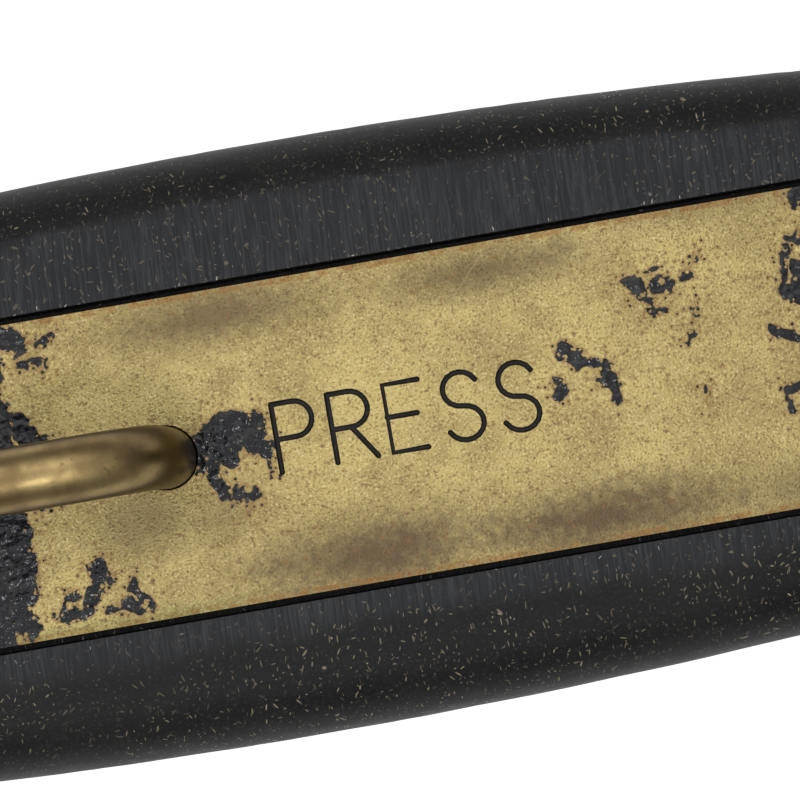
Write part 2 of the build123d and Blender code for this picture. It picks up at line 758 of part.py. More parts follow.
def cup_screws(cup, places):
    """Slotted screws in the floor of a cup, with their heads a leaf's thickness above it."""
    with BuildPart() as screws:
        with Locations(cup.offset(cup_floor + spring_leaf_thickness)):
            with Locations(*places):
                Cylinder(cup_screw_head, cup_screw_head_height,
                         align=(Align.CENTER, Align.CENTER, Align.MIN))
                Cylinder(cup_screw_shank, cup_screw_length,
                         align=(Align.CENTER, Align.CENTER, Align.MAX))
        with Locations(cup.offset(cup_floor + spring_leaf_thickness + cup_screw_head_height)):
            with Locations(*places):
                Box(screw_slot_width, 2 * cup_screw_head, screw_slot_depth, mode=Mode.SUBTRACT)
    return screws.part


def sound_holes(cup, top, hole_radius, pitch, rings):
    """Cutter for the holes of a cap: one in the middle, and rings a pitch apart round it."""
    with BuildPart() as holes:
        with Locations(cup.offset(cap_ceiling)):
            Cylinder(hole_radius, 2 * (top - cap_ceiling))
            for ring in range(1, rings + 1):
                with PolarLocations(ring * pitch, ring * first_ring_count):
                    Cylinder(hole_radius, 2 * (top - cap_ceiling))
    return holes.part


# ---- Receiver ------------------------------------------------------------------------------------
receiver_case_bottom = neck_height - receiver_case_depth
receiver_case_inside = case_radius(receiver_radius) - case_wall
magnet_radius = receiver_case_inside - magnet_inset
magnet_bottom = receiver_case_bottom + case_wall
magnet_top = magnet_bottom + magnet_thickness
pole_x = (pole_gap + pole_thickness) / 2
coil_bottom = magnet_top + pole_foot

with BuildPart() as receiver_shell:
    with BuildSketch(section(receiver_cup)):
        add(outline(
            (0, receiver_case_bottom),
            (case_radius(receiver_radius), receiver_case_bottom),
            (case_radius(receiver_radius), neck_height),
            (flange_radius(receiver_radius), neck_height),
            (flange_radius(receiver_radius), flange_top),
            (receiver_case_inside, flange_top),
            (receiver_case_inside, magnet_bottom),
            (0, magnet_bottom),
        ))
    revolve(axis=cup_axis(receiver_cup))
    with Locations(receiver_cup.offset(receiver_case_bottom)):
        with Locations(*[(stud_x, side * stud_y) for side in (-1, 1)]):
            Cylinder(stud_radius / 2, 4 * case_wall, mode=Mode.SUBTRACT)
receiver_shell.part.label = "receiver_shell"
export_step(receiver_shell.part, "parts/receiver_shell.step")

with BuildPart() as receiver_magnet:
    with BuildSketch(receiver_cup.offset(magnet_bottom)):
        Circle(magnet_radius)
        Circle(magnet_radius - magnet_width, mode=Mode.SUBTRACT)
        Rectangle(magnet_gap, magnet_radius, align=(Align.CENTER, Align.MAX), mode=Mode.SUBTRACT)
    extrude(amount=magnet_thickness)
receiver_magnet.part.label = "receiver_magnet"
export_step(receiver_magnet.part, "parts/receiver_magnet.step")

with BuildPart() as receiver_pole_pieces:
    with BuildSketch(side_view(receiver_cup)):
        with BuildLine():
            Polyline(
                (pole_gap / 2, magnet_top),
                (magnet_radius - magnet_width / 2, magnet_top),
                (magnet_radius - magnet_width / 2, coil_bottom),
                (pole_gap / 2 + pole_thickness, coil_bottom),
                (pole_gap / 2 + pole_thickness, flange_top - pole_air),
                (pole_gap / 2, flange_top - pole_air),
                close=True,
            )
        make_face()
    extrude(amount=pole_width / 2, both=True)
    mirror(about=Plane(origin=receiver_cup.origin, z_dir=receiver_cup.x_dir))
receiver_pole_pieces.part.label = "receiver_pole_pieces"
export_step(receiver_pole_pieces.part, "parts/receiver_pole_pieces.step")

with BuildPart() as receiver_coils:
    with BuildSketch(receiver_cup.offset(coil_bottom)):
        with Locations(*[(side * pole_x, 0) for side in (-1, 1)]):
            RectangleRounded(pole_thickness + 2 * coil_build, pole_width + 2 * coil_build, coil_build)
            Rectangle(pole_thickness, pole_width, mode=Mode.SUBTRACT)
    extrude(amount=flange_top - coil_headroom - coil_bottom)
receiver_coils.part.label = "receiver_coils"
export_step(receiver_coils.part, "parts/receiver_coils.step")

with BuildPart() as receiver_studs:
    add(studs(receiver_cup, receiver_case_bottom))
receiver_studs.part.label = "receiver_studs"
export_step(receiver_studs.part, "parts/receiver_studs.step")

with BuildPart() as receiver_diaphragm:
    add(diaphragm_disc(receiver_cup, receiver_radius))
receiver_diaphragm.part.label = "receiver_diaphragm"
export_step(receiver_diaphragm.part, "parts/receiver_diaphragm.step")

with BuildPart() as receiver_clamp_ring:
    add(clamp_ring(receiver_cup, receiver_radius))
receiver_clamp_ring.part.label = "receiver_clamp_ring"
export_step(receiver_clamp_ring.part, "parts/receiver_clamp_ring.step")

with BuildPart() as receiver_contact_springs:
    add(contact_springs(receiver_cup, receiver_case_bottom - stud_height))
receiver_contact_springs.part.label = "receiver_contact_springs"
export_step(receiver_contact_springs.part, "parts/receiver_contact_springs.step")

with BuildPart() as receiver_contact_screws:
    add(cup_screws(receiver_cup, cup_screw_places))
receiver_contact_screws.part.label = "receiver_contact_screws"
export_step(receiver_contact_screws.part, "parts/receiver_contact_screws.step")

receiver_skirt = receiver_radius - cap_wall + cap_thread_gap
receiver_ring_inside = flange_radius(receiver_radius) - ring_width
receiver_edge = receiver_radius - cap_edge_radius
receiver_dish_radius = receiver_edge - receiver_rim
with BuildPart() as receiver_cap:
    with BuildSketch(section(receiver_cup)):
        with BuildLine():
            Polyline(
                (receiver_dish_radius, receiver_cap_height),
                (receiver_edge, receiver_cap_height),
            )
            rim = JernArc((receiver_edge, receiver_cap_height), (1, 0), cap_edge_radius, -90)
            Polyline(
                rim @ 1,
                (receiver_radius, cap_bottom_z),
                (receiver_skirt, cap_bottom_z),
                (receiver_skirt, cap_seat),
                (receiver_ring_inside, cap_seat),
                (receiver_ring_inside, cap_ceiling),
                (0, cap_ceiling),
                (0, receiver_cap_height - receiver_dish_depth),
            )
            TangentArc(
                (0, receiver_cap_height - receiver_dish_depth),
                (receiver_dish_radius, receiver_cap_height),
                tangent=(1, 0),
            )
        make_face()
    revolve(axis=cup_axis(receiver_cup))
    add(sound_holes(receiver_cup, receiver_cap_height, receiver_hole_radius, receiver_hole_pitch,
                    receiver_hole_rings), mode=Mode.SUBTRACT)
receiver_cap.part.label = "receiver_cap"
export_step(receiver_cap.part, "parts/receiver_cap.step")

# ---- Transmitter ---------------------------------------------------------------------------------
transmitter_case_bottom = neck_height - transmitter_case_depth
transmitter_case_inside = case_radius(transmitter_radius) - case_wall
chamber_bottom = transmitter_case_bottom - chamber_depth

with BuildPart() as transmitter_case:
    with BuildSketch(section(transmitter_cup)):
        add(outline(
            (0, chamber_bottom),
            (chamber_radius, chamber_bottom),
            (chamber_radius, transmitter_case_bottom),
            (case_radius(transmitter_radius), transmitter_case_bottom),
            (case_radius(transmitter_radius), neck_height),
            (flange_radius(transmitter_radius), neck_height),
            (flange_radius(transmitter_radius), flange_top),
            (transmitter_case_inside, flange_top),
            (transmitter_case_inside, transmitter_case_bottom + case_wall),
            (chamber_radius - case_wall, transmitter_case_bottom + case_wall),
            (chamber_radius - case_wall, chamber_bottom + case_wall),
            (0, chamber_bottom + case_wall),
        ))
    revolve(axis=cup_axis(transmitter_cup))
    with Locations(transmitter_cup.offset(chamber_bottom)):
        with Locations(*[(stud_x, side * stud_y) for side in (-1, 1)]):
            Cylinder(stud_radius / 2, 4 * case_wall, mode=Mode.SUBTRACT)
transmitter_case.part.label = "transmitter_case"
export_step(transmitter_case.part, "parts/transmitter_case.step")

with BuildPart() as transmitter_studs:
    add(studs(transmitter_cup, chamber_bottom))
transmitter_studs.part.label = "transmitter_studs"
export_step(transmitter_studs.part, "parts/transmitter_studs.step")

carbon_bottom = chamber_bottom + case_wall + stud_height / 2
with BuildPart() as carbon_chamber:
    with BuildSketch(section(transmitter_cup)):
        add(outline(
            (0, carbon_bottom),
            (carbon_radius, carbon_bottom),
            (carbon_radius, carbon_bottom + carbon_depth),
            (carbon_radius - carbon_wall, carbon_bottom + carbon_depth),
            (carbon_radius - carbon_wall, carbon_bottom + carbon_wall),
            (0, carbon_bottom + carbon_wall),
        ))
    revolve(axis=cup_axis(transmitter_cup))
carbon_chamber.part.label = "carbon_chamber"
export_step(carbon_chamber.part, "parts/carbon_chamber.step")

cone_foot = flange_top - cone_depth
electrode_bottom = carbon_bottom + 2 * carbon_wall
with BuildPart() as transmitter_diaphragm:
    with BuildSketch(section(transmitter_cup)):
        add(outline(
            (0, electrode_bottom),
            (electrode_radius, electrode_bottom),
            (electrode_radius, cone_foot),
            (transmitter_case_inside, flange_top),
            (flange_radius(transmitter_radius), flange_top),
            (flange_radius(transmitter_radius), flange_top + diaphragm_thickness),
            (transmitter_case_inside, flange_top + diaphragm_thickness),
            (electrode_radius, cone_foot + cone_thickness),
            (0, cone_foot + cone_thickness),
        ))
    revolve(axis=cup_axis(transmitter_cup))
transmitter_diaphragm.part.label = "transmitter_diaphragm"
export_step(transmitter_diaphragm.part, "parts/transmitter_diaphragm.step")

with BuildPart() as transmitter_clamp_ring:
    add(clamp_ring(transmitter_cup, transmitter_radius))
transmitter_clamp_ring.part.label = "transmitter_clamp_ring"
export_step(transmitter_clamp_ring.part, "parts/transmitter_clamp_ring.step")

with BuildPart() as transmitter_contact_springs:
    add(contact_springs(transmitter_cup, chamber_bottom - stud_height))
transmitter_contact_springs.part.label = "transmitter_contact_springs"
export_step(transmitter_contact_springs.part, "parts/transmitter_contact_springs.step")

with BuildPart() as transmitter_contact_screws:
    add(cup_screws(transmitter_cup, cup_screw_places))
transmitter_contact_screws.part.label = "transmitter_contact_screws"
export_step(transmitter_contact_screws.part, "parts/transmitter_contact_screws.step")

transmitter_skirt = transmitter_radius - cap_wall + cap_thread_gap
transmitter_ring_inside = flange_radius(transmitter_radius) - ring_width
transmitter_top = transmitter_cap_wall_height + transmitter_dome_height
inside_sag = transmitter_dome_height * (transmitter_ring_inside / transmitter_radius) ** 2
with BuildPart() as transmitter_cap:
    with BuildSketch(section(transmitter_cup)) as cap_section:
        with BuildLine():
            TangentArc(
                (0, transmitter_top),
                (transmitter_radius, transmitter_cap_wall_height),
                tangent=(1, 0),
            )
            inside = TangentArc(
                (0, transmitter_top - transmitter_face_thickness),
                (transmitter_ring_inside, transmitter_top - transmitter_face_thickness - inside_sag),
                tangent=(1, 0),
            )
            Polyline(
                inside @ 1,
                (transmitter_ring_inside, cap_seat),
                (transmitter_skirt, cap_seat),
                (transmitter_skirt, cap_bottom_z),
                (transmitter_radius, cap_bottom_z),
                (transmitter_radius, transmitter_cap_wall_height),
            )
            Line((0, transmitter_top), inside @ 0)
        make_face()
        shoulder = (transmitter_radius, transmitter_cap_wall_height)
        fillet(cap_section.vertices().sort_by_distance(shoulder)[0], cap_edge_radius)
    revolve(axis=cup_axis(transmitter_cup))
    add(sound_holes(transmitter_cup, transmitter_top, transmitter_hole_radius,
                    transmitter_hole_pitch, transmitter_hole_rings), mode=Mode.SUBTRACT)
transmitter_cap.part.label = "transmitter_cap"
export_step(transmitter_cap.part, "parts/transmitter_cap.step")

# ---- Cord terminals and leads --------------------------------------------------------------------
with BuildPart() as cord_terminals:
    add(cup_screws(transmitter_cup, terminal_places))
    with Locations(transmitter_cup.offset(cup_floor)):
        with Locations(*terminal_places):
            Cylinder(terminal_washer, spring_leaf_thickness,
                     align=(Align.CENTER, Align.CENTER, Align.MIN))
cord_terminals.part.label = "cord_terminals"
export_step(cord_terminals.part, "parts/cord_terminals.step")

lead_radius = lead_diameter / 2
lead_side = pocket_width / 2 - lead_room - lead_radius
lead_low = pocket_floor + lead_room + lead_radius
lead_end = cup_floor + spring_leaf_thickness + cup_screw_head_height / 2
lead_lane = stud_y + spring_leaf_width / 2 + 2 * lead_diameter    # beside the contact springs
tag_x = stack_end + leaf_tag - lead_tag_inset
screw_reach = cup_screw_head + lead_gap
screw_side = stud_y + screw_reach
half_pair = lead_pair / 2
lead_turn = terminal_x + lead_diameter       # where the receiver's leads turn into their lanes


def in_cup(cup, x, y, z):
    """World place of a point given from a cup's axis and shoulder."""
    return cup.from_local_coords(Vector(x, y, z))


def lead(points):
    """A round lead along straight runs joined by arcs."""
    radii = []
    for before, corner, after in zip(points, points[1:], points[2:]):
        run, leave = corner - before, after - corner
        turn = radians(run.get_angle(leave))
        radii.append(max(lead_bend, 0.45 * min(run.length, leave.length) / tan(turn / 2)))
    with BuildPart() as wire:
        with BuildLine() as route:
            FilletPolyline(*points, radius=radii)
        with BuildSketch(Plane(origin=route.line @ 0, z_dir=route.line % 0)):
            Circle(lead_radius)
        sweep(path=route.line)
    return wire.part


def receiver_lead(side, *ends):
    """From a receiver spring's screw, through the pocket, to the transmitter's cup."""
    middle = Vector(0, side * half_pair, 0)
    low = Vector(0, side * half_pair, -half_pair)
    return lead([
        in_cup(receiver_cup, cup_screw_x, side * screw_side, lead_end),
        in_cup(receiver_cup, cup_screw_x, side * lead_lane, lead_end),
        in_cup(receiver_cup, terminal_x - lead_diameter, side * lead_lane, lead_end + lead_diameter),
        receiver_way[1] + middle,
        receiver_way[0] + middle + Vector(lead_mouth, 0, 0),
        Vector(pocket_left + lead_spread, side * lead_side, lead_low),
        Vector(pocket_right - lead_spread, side * lead_side, lead_low),
        transmitter_way[0] + low - Vector(lead_mouth, 0, 0),
        transmitter_way[1] + low,
        *[in_cup(transmitter_cup, *end) for end in ends],
    ])


def switch_lead(side, *ends):
    """From a leaf's soldering end to the transmitter's cup."""
    high = Vector(0, side * half_pair, half_pair)
    return lead([
        Vector(tag_x, side * leaf_middle_y, leaf_high - leaf_thickness / 2),
        Vector(tag_x, side * leaf_middle_y, lead_way_z + lead_spread),
        transmitter_way[0] + high - Vector(lead_mouth, 0, 0),
        transmitter_way[1] + high,
        *[in_cup(transmitter_cup, *end) for end in ends],
    ])


with BuildPart() as internal_leads:
    add(receiver_lead(
        1,
        (-lead_turn, lead_lane, lead_end + lead_diameter),
        (terminal_x, lead_lane, lead_end),
        (terminal_x, screw_reach, lead_end),
    ))
    add(receiver_lead(
        -1,
        (-lead_turn, -lead_lane, lead_end + lead_diameter),
        (cup_screw_x, -lead_lane, lead_end),
        (cup_screw_x, -screw_side, lead_end),
    ))
    add(switch_lead(
        1,
        (cup_screw_x - screw_reach - 2 * lead_landing, stud_y, lead_end + 2 * lead_diameter),
        (cup_screw_x - screw_reach, stud_y, lead_end),
    ))
    add(switch_lead(
        -1,
        (-terminal_x - screw_reach - lead_landing, 0, lead_end + lead_radius),
        (-terminal_x - screw_reach, 0, lead_end),
    ))
internal_leads.part.label = "internal_leads"
export_step(internal_leads.part, "parts/internal_leads.step")
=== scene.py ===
# %% [markdown]
# # Push-to-talk handset with a press bar
# An old field telephone handset: a moulded black phenolic grip with a screwed cap at each end, a
# long brass plate let into its face, and a bent brass bar that is pressed to talk.
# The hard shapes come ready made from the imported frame. This lesson gives each of them its finish,
# cuts the word into the plate, winds the spring from round wire and puts threads on the necks.

import json
import math

import bmesh
import bpy
from mathutils import Matrix, Vector


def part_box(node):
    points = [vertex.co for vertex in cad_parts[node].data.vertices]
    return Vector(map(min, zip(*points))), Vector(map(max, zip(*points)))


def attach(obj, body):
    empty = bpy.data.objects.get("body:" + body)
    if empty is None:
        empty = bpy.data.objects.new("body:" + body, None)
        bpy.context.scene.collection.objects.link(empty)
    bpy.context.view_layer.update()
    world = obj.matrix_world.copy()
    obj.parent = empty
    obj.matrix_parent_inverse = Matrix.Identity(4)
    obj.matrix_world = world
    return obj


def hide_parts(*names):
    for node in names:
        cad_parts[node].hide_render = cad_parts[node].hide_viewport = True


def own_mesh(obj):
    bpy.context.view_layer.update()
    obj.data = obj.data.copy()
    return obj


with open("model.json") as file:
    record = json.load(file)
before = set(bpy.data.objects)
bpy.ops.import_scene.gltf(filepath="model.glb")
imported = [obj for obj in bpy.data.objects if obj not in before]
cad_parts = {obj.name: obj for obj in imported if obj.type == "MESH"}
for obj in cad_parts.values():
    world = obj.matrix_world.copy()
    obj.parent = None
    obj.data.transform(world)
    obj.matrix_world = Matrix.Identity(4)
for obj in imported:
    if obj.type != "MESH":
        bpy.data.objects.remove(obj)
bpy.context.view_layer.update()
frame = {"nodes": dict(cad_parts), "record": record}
nodes = frame["nodes"]
joints = {joint["name"]: joint for joint in frame["record"]["behaviour"]["joints"]}
MM = 0.001
plate_low, plate_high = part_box("cover_plate")
print("pieces in the frame:", len(nodes))
print("plate:", [round(v / MM, 2) for v in plate_high - plate_low], "mm")

# %% [markdown]
# ## Small helpers for node trees
# Materials here are built from many small nodes. One helper adds a node, sets its properties and
# fills its inputs with either a value or another node's output, so that a recipe reads top to
# bottom like a sum on paper.


# %% Helpers that add and join nodes
def feed(tree, socket, value):
    """Join a socket to another node's output, or set its value."""
    if isinstance(value, bpy.types.NodeSocket):
        tree.links.new(value, socket)
    else:
        socket.default_value = value


def put(tree, kind, inputs=None, out=0, **settings):
    """Add a node, set its properties, fill its inputs, and return one of its outputs."""
    made = tree.nodes.new("ShaderNode" + kind)
    for name, value in settings.items():
        setattr(made, name, value)
    for key, value in (inputs or {}).items():
        feed(tree, made.inputs[key], value)
    return made.outputs[out]


def calc(tree, operation, a, b=0.0, clamp=False):
    """One step of arithmetic."""
    return put(tree, "Math", {0: a, 1: b}, operation=operation, use_clamp=clamp)


def between(tree, value, low, high):
    """0 below low, 1 above high, and a soft step from one to the other."""
    return put(tree, "MapRange", {"Value": value, "From Min": low, "From Max": high},
               interpolation_type="SMOOTHSTEP")


def blend_colour(tree, factor, a, b):
    """Mix two colours by a factor."""
    return put(tree, "Mix", {0: factor, 6: a, 7: b}, out=2, data_type="RGBA")


def noise(tree, vector, scale, detail=3.0, roughness=0.55, stretch=None):
    """Soft noise whose grains are about 1/scale mm, drawn out along an axis by stretch."""
    if stretch:
        vector = put(tree, "VectorMath", {0: vector, 1: stretch}, operation="MULTIPLY")
    return put(tree, "TexNoise", {"Vector": vector, "Scale": scale, "Detail": detail,
                                  "Roughness": roughness})


def new_group(name, inputs, outputs):
    """An empty node group; its sockets are given as name: kind or name: (kind, value)."""
    group = bpy.data.node_groups.new(name, "ShaderNodeTree")
    for label, entry in inputs.items():
        kind, value = entry if isinstance(entry, tuple) else (entry, None)
        socket = group.interface.new_socket(label, in_out="INPUT", socket_type="NodeSocket" + kind)
        if value is not None:
            socket.default_value = value
    for label, kind in outputs.items():
        group.interface.new_socket(label, in_out="OUTPUT", socket_type="NodeSocket" + kind)
    return group, group.nodes.new("NodeGroupInput").outputs, group.nodes.new("NodeGroupOutput")


def use(tree, group, inputs):
    """Place a group in a tree with its own values, and return its outputs by name."""
    placed = tree.nodes.new("ShaderNodeGroup")
    placed.node_tree = group
    for key, value in inputs.items():
        feed(tree, placed.inputs[key], value)
    return placed.outputs


# %% [markdown]
# ## Effect: flecks
# Phenolic is filled with wood flour, and a worn surface shows it as pale splinters that lie every
# way. Each cell of a Voronoi texture holds one fleck: the place inside the cell is turned by the
# cell's random colour and squeezed, so a sphere becomes a thin flake. The surface cuts most flakes
# across, and the cut is a splinter. Specks of lint are the same thing at another size, so this is
# one group with sizes as inputs.


# %% Group: flecks
def make_flecks():
    group, given, result = new_group(
        "Flecks",
        {"Vector": "Vector", "Spacing": ("Float", 1.0), "Length": ("Float", 0.3),
         "Width": ("Float", 0.08), "Share": ("Float", 0.5)},
        {"Mask": "Float", "Tone": "Float"})
    cell_size = calc(group, "DIVIDE", 1.0, given["Spacing"])
    place = put(group, "VectorMath", {0: given["Vector"], "Scale": cell_size}, operation="SCALE")
    cells = group.nodes.new("ShaderNodeTexVoronoi")
    feed(group, cells.inputs["Vector"], place)
    feed(group, cells.inputs["Scale"], 1.0)
    inside = put(group, "VectorMath", {0: place, 1: cells.outputs["Position"]},
                 operation="SUBTRACT")
    inside = put(group, "VectorMath", {0: inside, "Scale": given["Spacing"]}, operation="SCALE")
    turn = put(group, "VectorMath", {0: cells.outputs["Color"], "Scale": 2 * math.pi},
               operation="SCALE")
    turned = put(group, "VectorRotate", {"Vector": inside, "Rotation": turn},
                 rotation_type="EULER_XYZ")
    size = put(group, "CombineXYZ", {0: given["Length"], 1: given["Length"], 2: given["Width"]})
    size = put(group, "VectorMath", {0: size, "Scale": 0.5}, operation="SCALE")
    squeezed = put(group, "VectorMath", {0: turned, 1: size}, operation="DIVIDE")
    reach = put(group, "VectorMath", {0: squeezed}, out="Value", operation="LENGTH")
    tones = put(group, "SeparateColor", {0: cells.outputs["Color"]}, out="Green")
    kept = calc(group, "LESS_THAN", tones, given["Share"])
    shape = between(group, reach, 1.0, 0.7)
    feed(group, result.inputs["Mask"], calc(group, "MULTIPLY", shape, kept))
    picked = put(group, "SeparateColor", {0: cells.outputs["Color"]}, out="Blue")
    feed(group, result.inputs["Tone"], picked)
    return group


flecks = make_flecks()
print("flecks group:", len(flecks.nodes), "nodes")

# %% [markdown]
# ## Effect: rubbing
# A surface that was dressed on abrasive paper keeps fine lines, and handling adds a few long
# scratches across them. Noise stretched hard along one direction gives the lines. Long thin cells
# seen from above give the scratches, because flecks turned in space would only show as dots.


# %% Group: rubbing
def make_rubbing():
    group, given, result = new_group(
        "Rubbing",
        {"Vector": "Vector", "Angle": ("Float", 0.0), "Lines per mm": ("Float", 6.0),
         "Scratch spacing": ("Float", 9.0)},
        {"Lines": "Float", "Scratches": "Float"})
    laid = put(group, "VectorRotate", {"Vector": given["Vector"], "Angle": given["Angle"]},
               rotation_type="Z_AXIS")
    across = put(group, "VectorMath", {0: laid, "Scale": given["Lines per mm"]},
                 operation="SCALE")
    feed(group, result.inputs["Lines"], noise(group, across, 1.0, 3.0, 0.7, (1.0, 0.05, 0.1)))
    flat = put(group, "VectorMath", {0: given["Vector"], 1: (1.0, 1.0, 0.0)},
               operation="MULTIPLY")
    wave = put(group, "TexNoise", {"Vector": flat, "Scale": 0.15, "Detail": 0.0}, out="Color")
    bent = put(group, "VectorMath", {0: wave, "Scale": 1.2}, operation="SCALE")
    flat = put(group, "VectorMath", {0: flat, 1: bent}, operation="ADD")
    closeness = calc(group, "DIVIDE", 1.0, given["Scratch spacing"])
    place = put(group, "VectorMath", {0: flat, "Scale": closeness}, operation="SCALE")
    cells = group.nodes.new("ShaderNodeTexVoronoi")
    cells.voronoi_dimensions = "2D"
    feed(group, cells.inputs["Vector"], place)
    feed(group, cells.inputs["Scale"], 1.0)
    inside = put(group, "VectorMath", {0: place, 1: cells.outputs["Position"]},
                 operation="SUBTRACT")
    turn = put(group, "SeparateColor", {0: cells.outputs["Color"]}, out="Red")
    turned = put(group, "VectorRotate",
                 {"Vector": inside, "Angle": calc(group, "MULTIPLY", turn, 2 * math.pi)},
                 rotation_type="Z_AXIS")
    turned = put(group, "VectorMath", {0: turned, 1: (3.0, 260.0, 0.0)}, operation="MULTIPLY")
    reach = put(group, "VectorMath", {0: turned}, out="Value", operation="LENGTH")
    feed(group, result.inputs["Scratches"], between(group, reach, 1.0, 0.4))
    return group


rubbing = make_rubbing()
print("rubbing group:", len(rubbing.nodes), "nodes")

# %% [markdown]
# ## Effect: tarnish
# Old brass never has one colour. It clouds over softly, is pitted all over by tiny dark and light
# grains, and freckles red-brown where it has been touched. The masks leave the group, and each
# metal mixes them in its own colours.


# %% Group: tarnish
def make_tarnish():
    group, given, result = new_group(
        "Tarnish",
        {"Vector": "Vector", "Cloud size": ("Float", 4.0), "Freckles": ("Float", 0.5),
         "Pits": ("Float", 0.5)},
        {"Clouds": "Float", "Freckles": "Float", "Pits": "Float", "Grain": "Float"})
    closeness = calc(group, "DIVIDE", 1.0, given["Cloud size"])
    place = put(group, "VectorMath", {0: given["Vector"], "Scale": closeness}, operation="SCALE")
    feed(group, result.inputs["Clouds"], noise(group, place, 1.0, 4.0, 0.6))
    speckle = noise(group, given["Vector"], 2.3, 3.0, 0.7)
    level = calc(group, "SUBTRACT", 0.8, calc(group, "MULTIPLY", given["Freckles"], 0.24))
    freckled = between(group, calc(group, "SUBTRACT", speckle, level), -0.03, 0.08)
    feed(group, result.inputs["Freckles"], freckled)
    grain = noise(group, given["Vector"], 8.5, 2.0, 0.6)
    feed(group, result.inputs["Grain"], grain)
    level = calc(group, "SUBTRACT", 0.75, calc(group, "MULTIPLY", given["Pits"], 0.2))
    pitted = between(group, calc(group, "SUBTRACT", grain, level), 0.0, 0.08)
    feed(group, result.inputs["Pits"], pitted)
    return group


tarnish = make_tarnish()
print("tarnish group:", len(tarnish.nodes), "nodes")

# %% [markdown]
# ## Effect: worn enamel
# The brass was painted black, and the paint has flaked off. What is left looks like drops that
# have run together: its coast is eaten by round bites with sharp cusps between them, with round
# holes just inside it and round crumbs just outside. Bites and crumbs are the cells of a flat
# Voronoi texture, each with a radius of its own. The material says how far inside a patch of paint
# a place is, in mm, and this group does the rest. It also gives a narrow rim just outside the film,
# where dirt gathers and where a brown line stands in as painted shade for the film's raised edge.


# %% Helper: round spots
# mm between two sizes of bites, their least and most radius, and how far in they stay whole
BITES = ((0.85, 0.0, 0.28, 0.08), (0.4, 0.0, 0.15, 0.07))
CRUMBS = (0.36, -0.07, 0.11)   # the same for the crumbs; below 0 there is none
BITE_FADE = 0.8                # radius that a bite loses for each mm further in
CRUMB_FADE = 0.11              # and a crumb for each mm further out
COAST_NOISE = 0.11             # mm, fine unevenness of every coast
COAST_SOFT = 0.014             # mm, half the width of the step from paint to brass


def round_spots(tree, vector, spacing, least, most):
    """How far a place is inside the nearest of many scattered round spots, in mm."""
    place = put(tree, "VectorMath", {0: vector, "Scale": 1 / spacing}, operation="SCALE")
    cells = tree.nodes.new("ShaderNodeTexVoronoi")
    cells.voronoi_dimensions = "2D"
    feed(tree, cells.inputs["Vector"], place)
    feed(tree, cells.inputs["Scale"], 1.0)
    pick = put(tree, "SeparateColor", {0: cells.outputs["Color"]}, out="Red")
    radius = calc(tree, "ADD", least, calc(tree, "MULTIPLY", pick, most - least))
    away = calc(tree, "MULTIPLY", cells.outputs["Distance"], spacing)
    return calc(tree, "SUBTRACT", radius, away)


# %% Group: worn enamel
def make_worn_enamel():
    group, given, result = new_group("Worn enamel", {"Vector": "Vector", "Cover": "Float"},
                                     {"Mask": "Float", "Rim dirt and shade": "Float", "Thin": "Float"})
    cover = given["Cover"]
    shore = cover
    for spacing, least, most, reach in BITES:
        bite = round_spots(group, given["Vector"], spacing, least, most)
        depth = calc(group, "MAXIMUM", calc(group, "SUBTRACT", cover, reach), 0.0)
        bite = calc(group, "SUBTRACT", bite, calc(group, "MULTIPLY", depth, BITE_FADE))
        shore = calc(group, "MINIMUM", shore, calc(group, "MULTIPLY", bite, -1.0))
    crumb = round_spots(group, given["Vector"], *CRUMBS)
    away = calc(group, "MAXIMUM", calc(group, "MULTIPLY", cover, -1.0), 0.0)
    crumb = calc(group, "SUBTRACT", crumb, calc(group, "MULTIPLY", away, CRUMB_FADE))
    shore = calc(group, "MAXIMUM", shore, crumb)
    fine = calc(group, "SUBTRACT", noise(group, given["Vector"], 4.5, 2.0, 0.6), 0.5)
    shore = calc(group, "ADD", shore, calc(group, "MULTIPLY", fine, COAST_NOISE))
    mask = between(group, shore, -COAST_SOFT, COAST_SOFT)
    feed(group, result.inputs["Mask"], mask)
    # the rim just outside the paint: dirt, and painted shade of the film's raised edge
    feed(group, result.inputs["Rim dirt and shade"], between(group, shore, -0.16, -0.02))
    patch = between(group, noise(group, given["Vector"], 0.9, 3.0, 0.6), 0.5, 0.68)
    feed(group, result.inputs["Thin"], calc(group, "MULTIPLY", mask, patch))
    return group


worn_enamel = make_worn_enamel()
print("worn enamel group:", len(worn_enamel.nodes), "nodes")

# %% [markdown]
# ## Starting a material
# Every material measures its texture from the frame's own origin, in millimetres, so that a number
# in a recipe is a size on the object. The surface's own direction is used as well, to tell the
# flat of the grip from its rounded edges.


# %% Helper: start a material
FINE_RELIEF = 0.012            # mm, on skin that looks smooth
PLAIN_RELIEF = 0.02            # mm, on the small inner pieces


def start_material(name):
    """A material with its tree and shader, a place in mm and the surface's direction."""
    material = bpy.data.materials.new(name)
    material.use_nodes = True
    tree = material.node_tree
    shader = tree.nodes["Principled BSDF"]
    coordinates = tree.nodes.new("ShaderNodeTexCoord")
    place = put(tree, "VectorMath", {0: coordinates.outputs["Object"], "Scale": 1 / MM},
                operation="SCALE")
    return material, tree, shader, place, coordinates.outputs["Normal"]


def part_of(tree, vector, axis):
    """The x, y or z part of a vector."""
    return put(tree, "SeparateXYZ", {0: vector}, out=axis)


def bump(tree, height, depth):
    """A bump whose full height is given in mm."""
    return put(tree, "Bump", {"Strength": 1.0, "Distance": depth * MM, "Height": height})


# %% [markdown]
# ## Finish: moulded phenolic
# The grip and both caps are black phenolic. Where the face was rubbed flat it is a bluish grey with
# fine lines across the grip. On the rounded edges the moulded skin is darker and smoother, and the
# flour shows as tan splinters. One recipe makes both, with the rubbed face as a choice, because
# the caps were never rubbed.


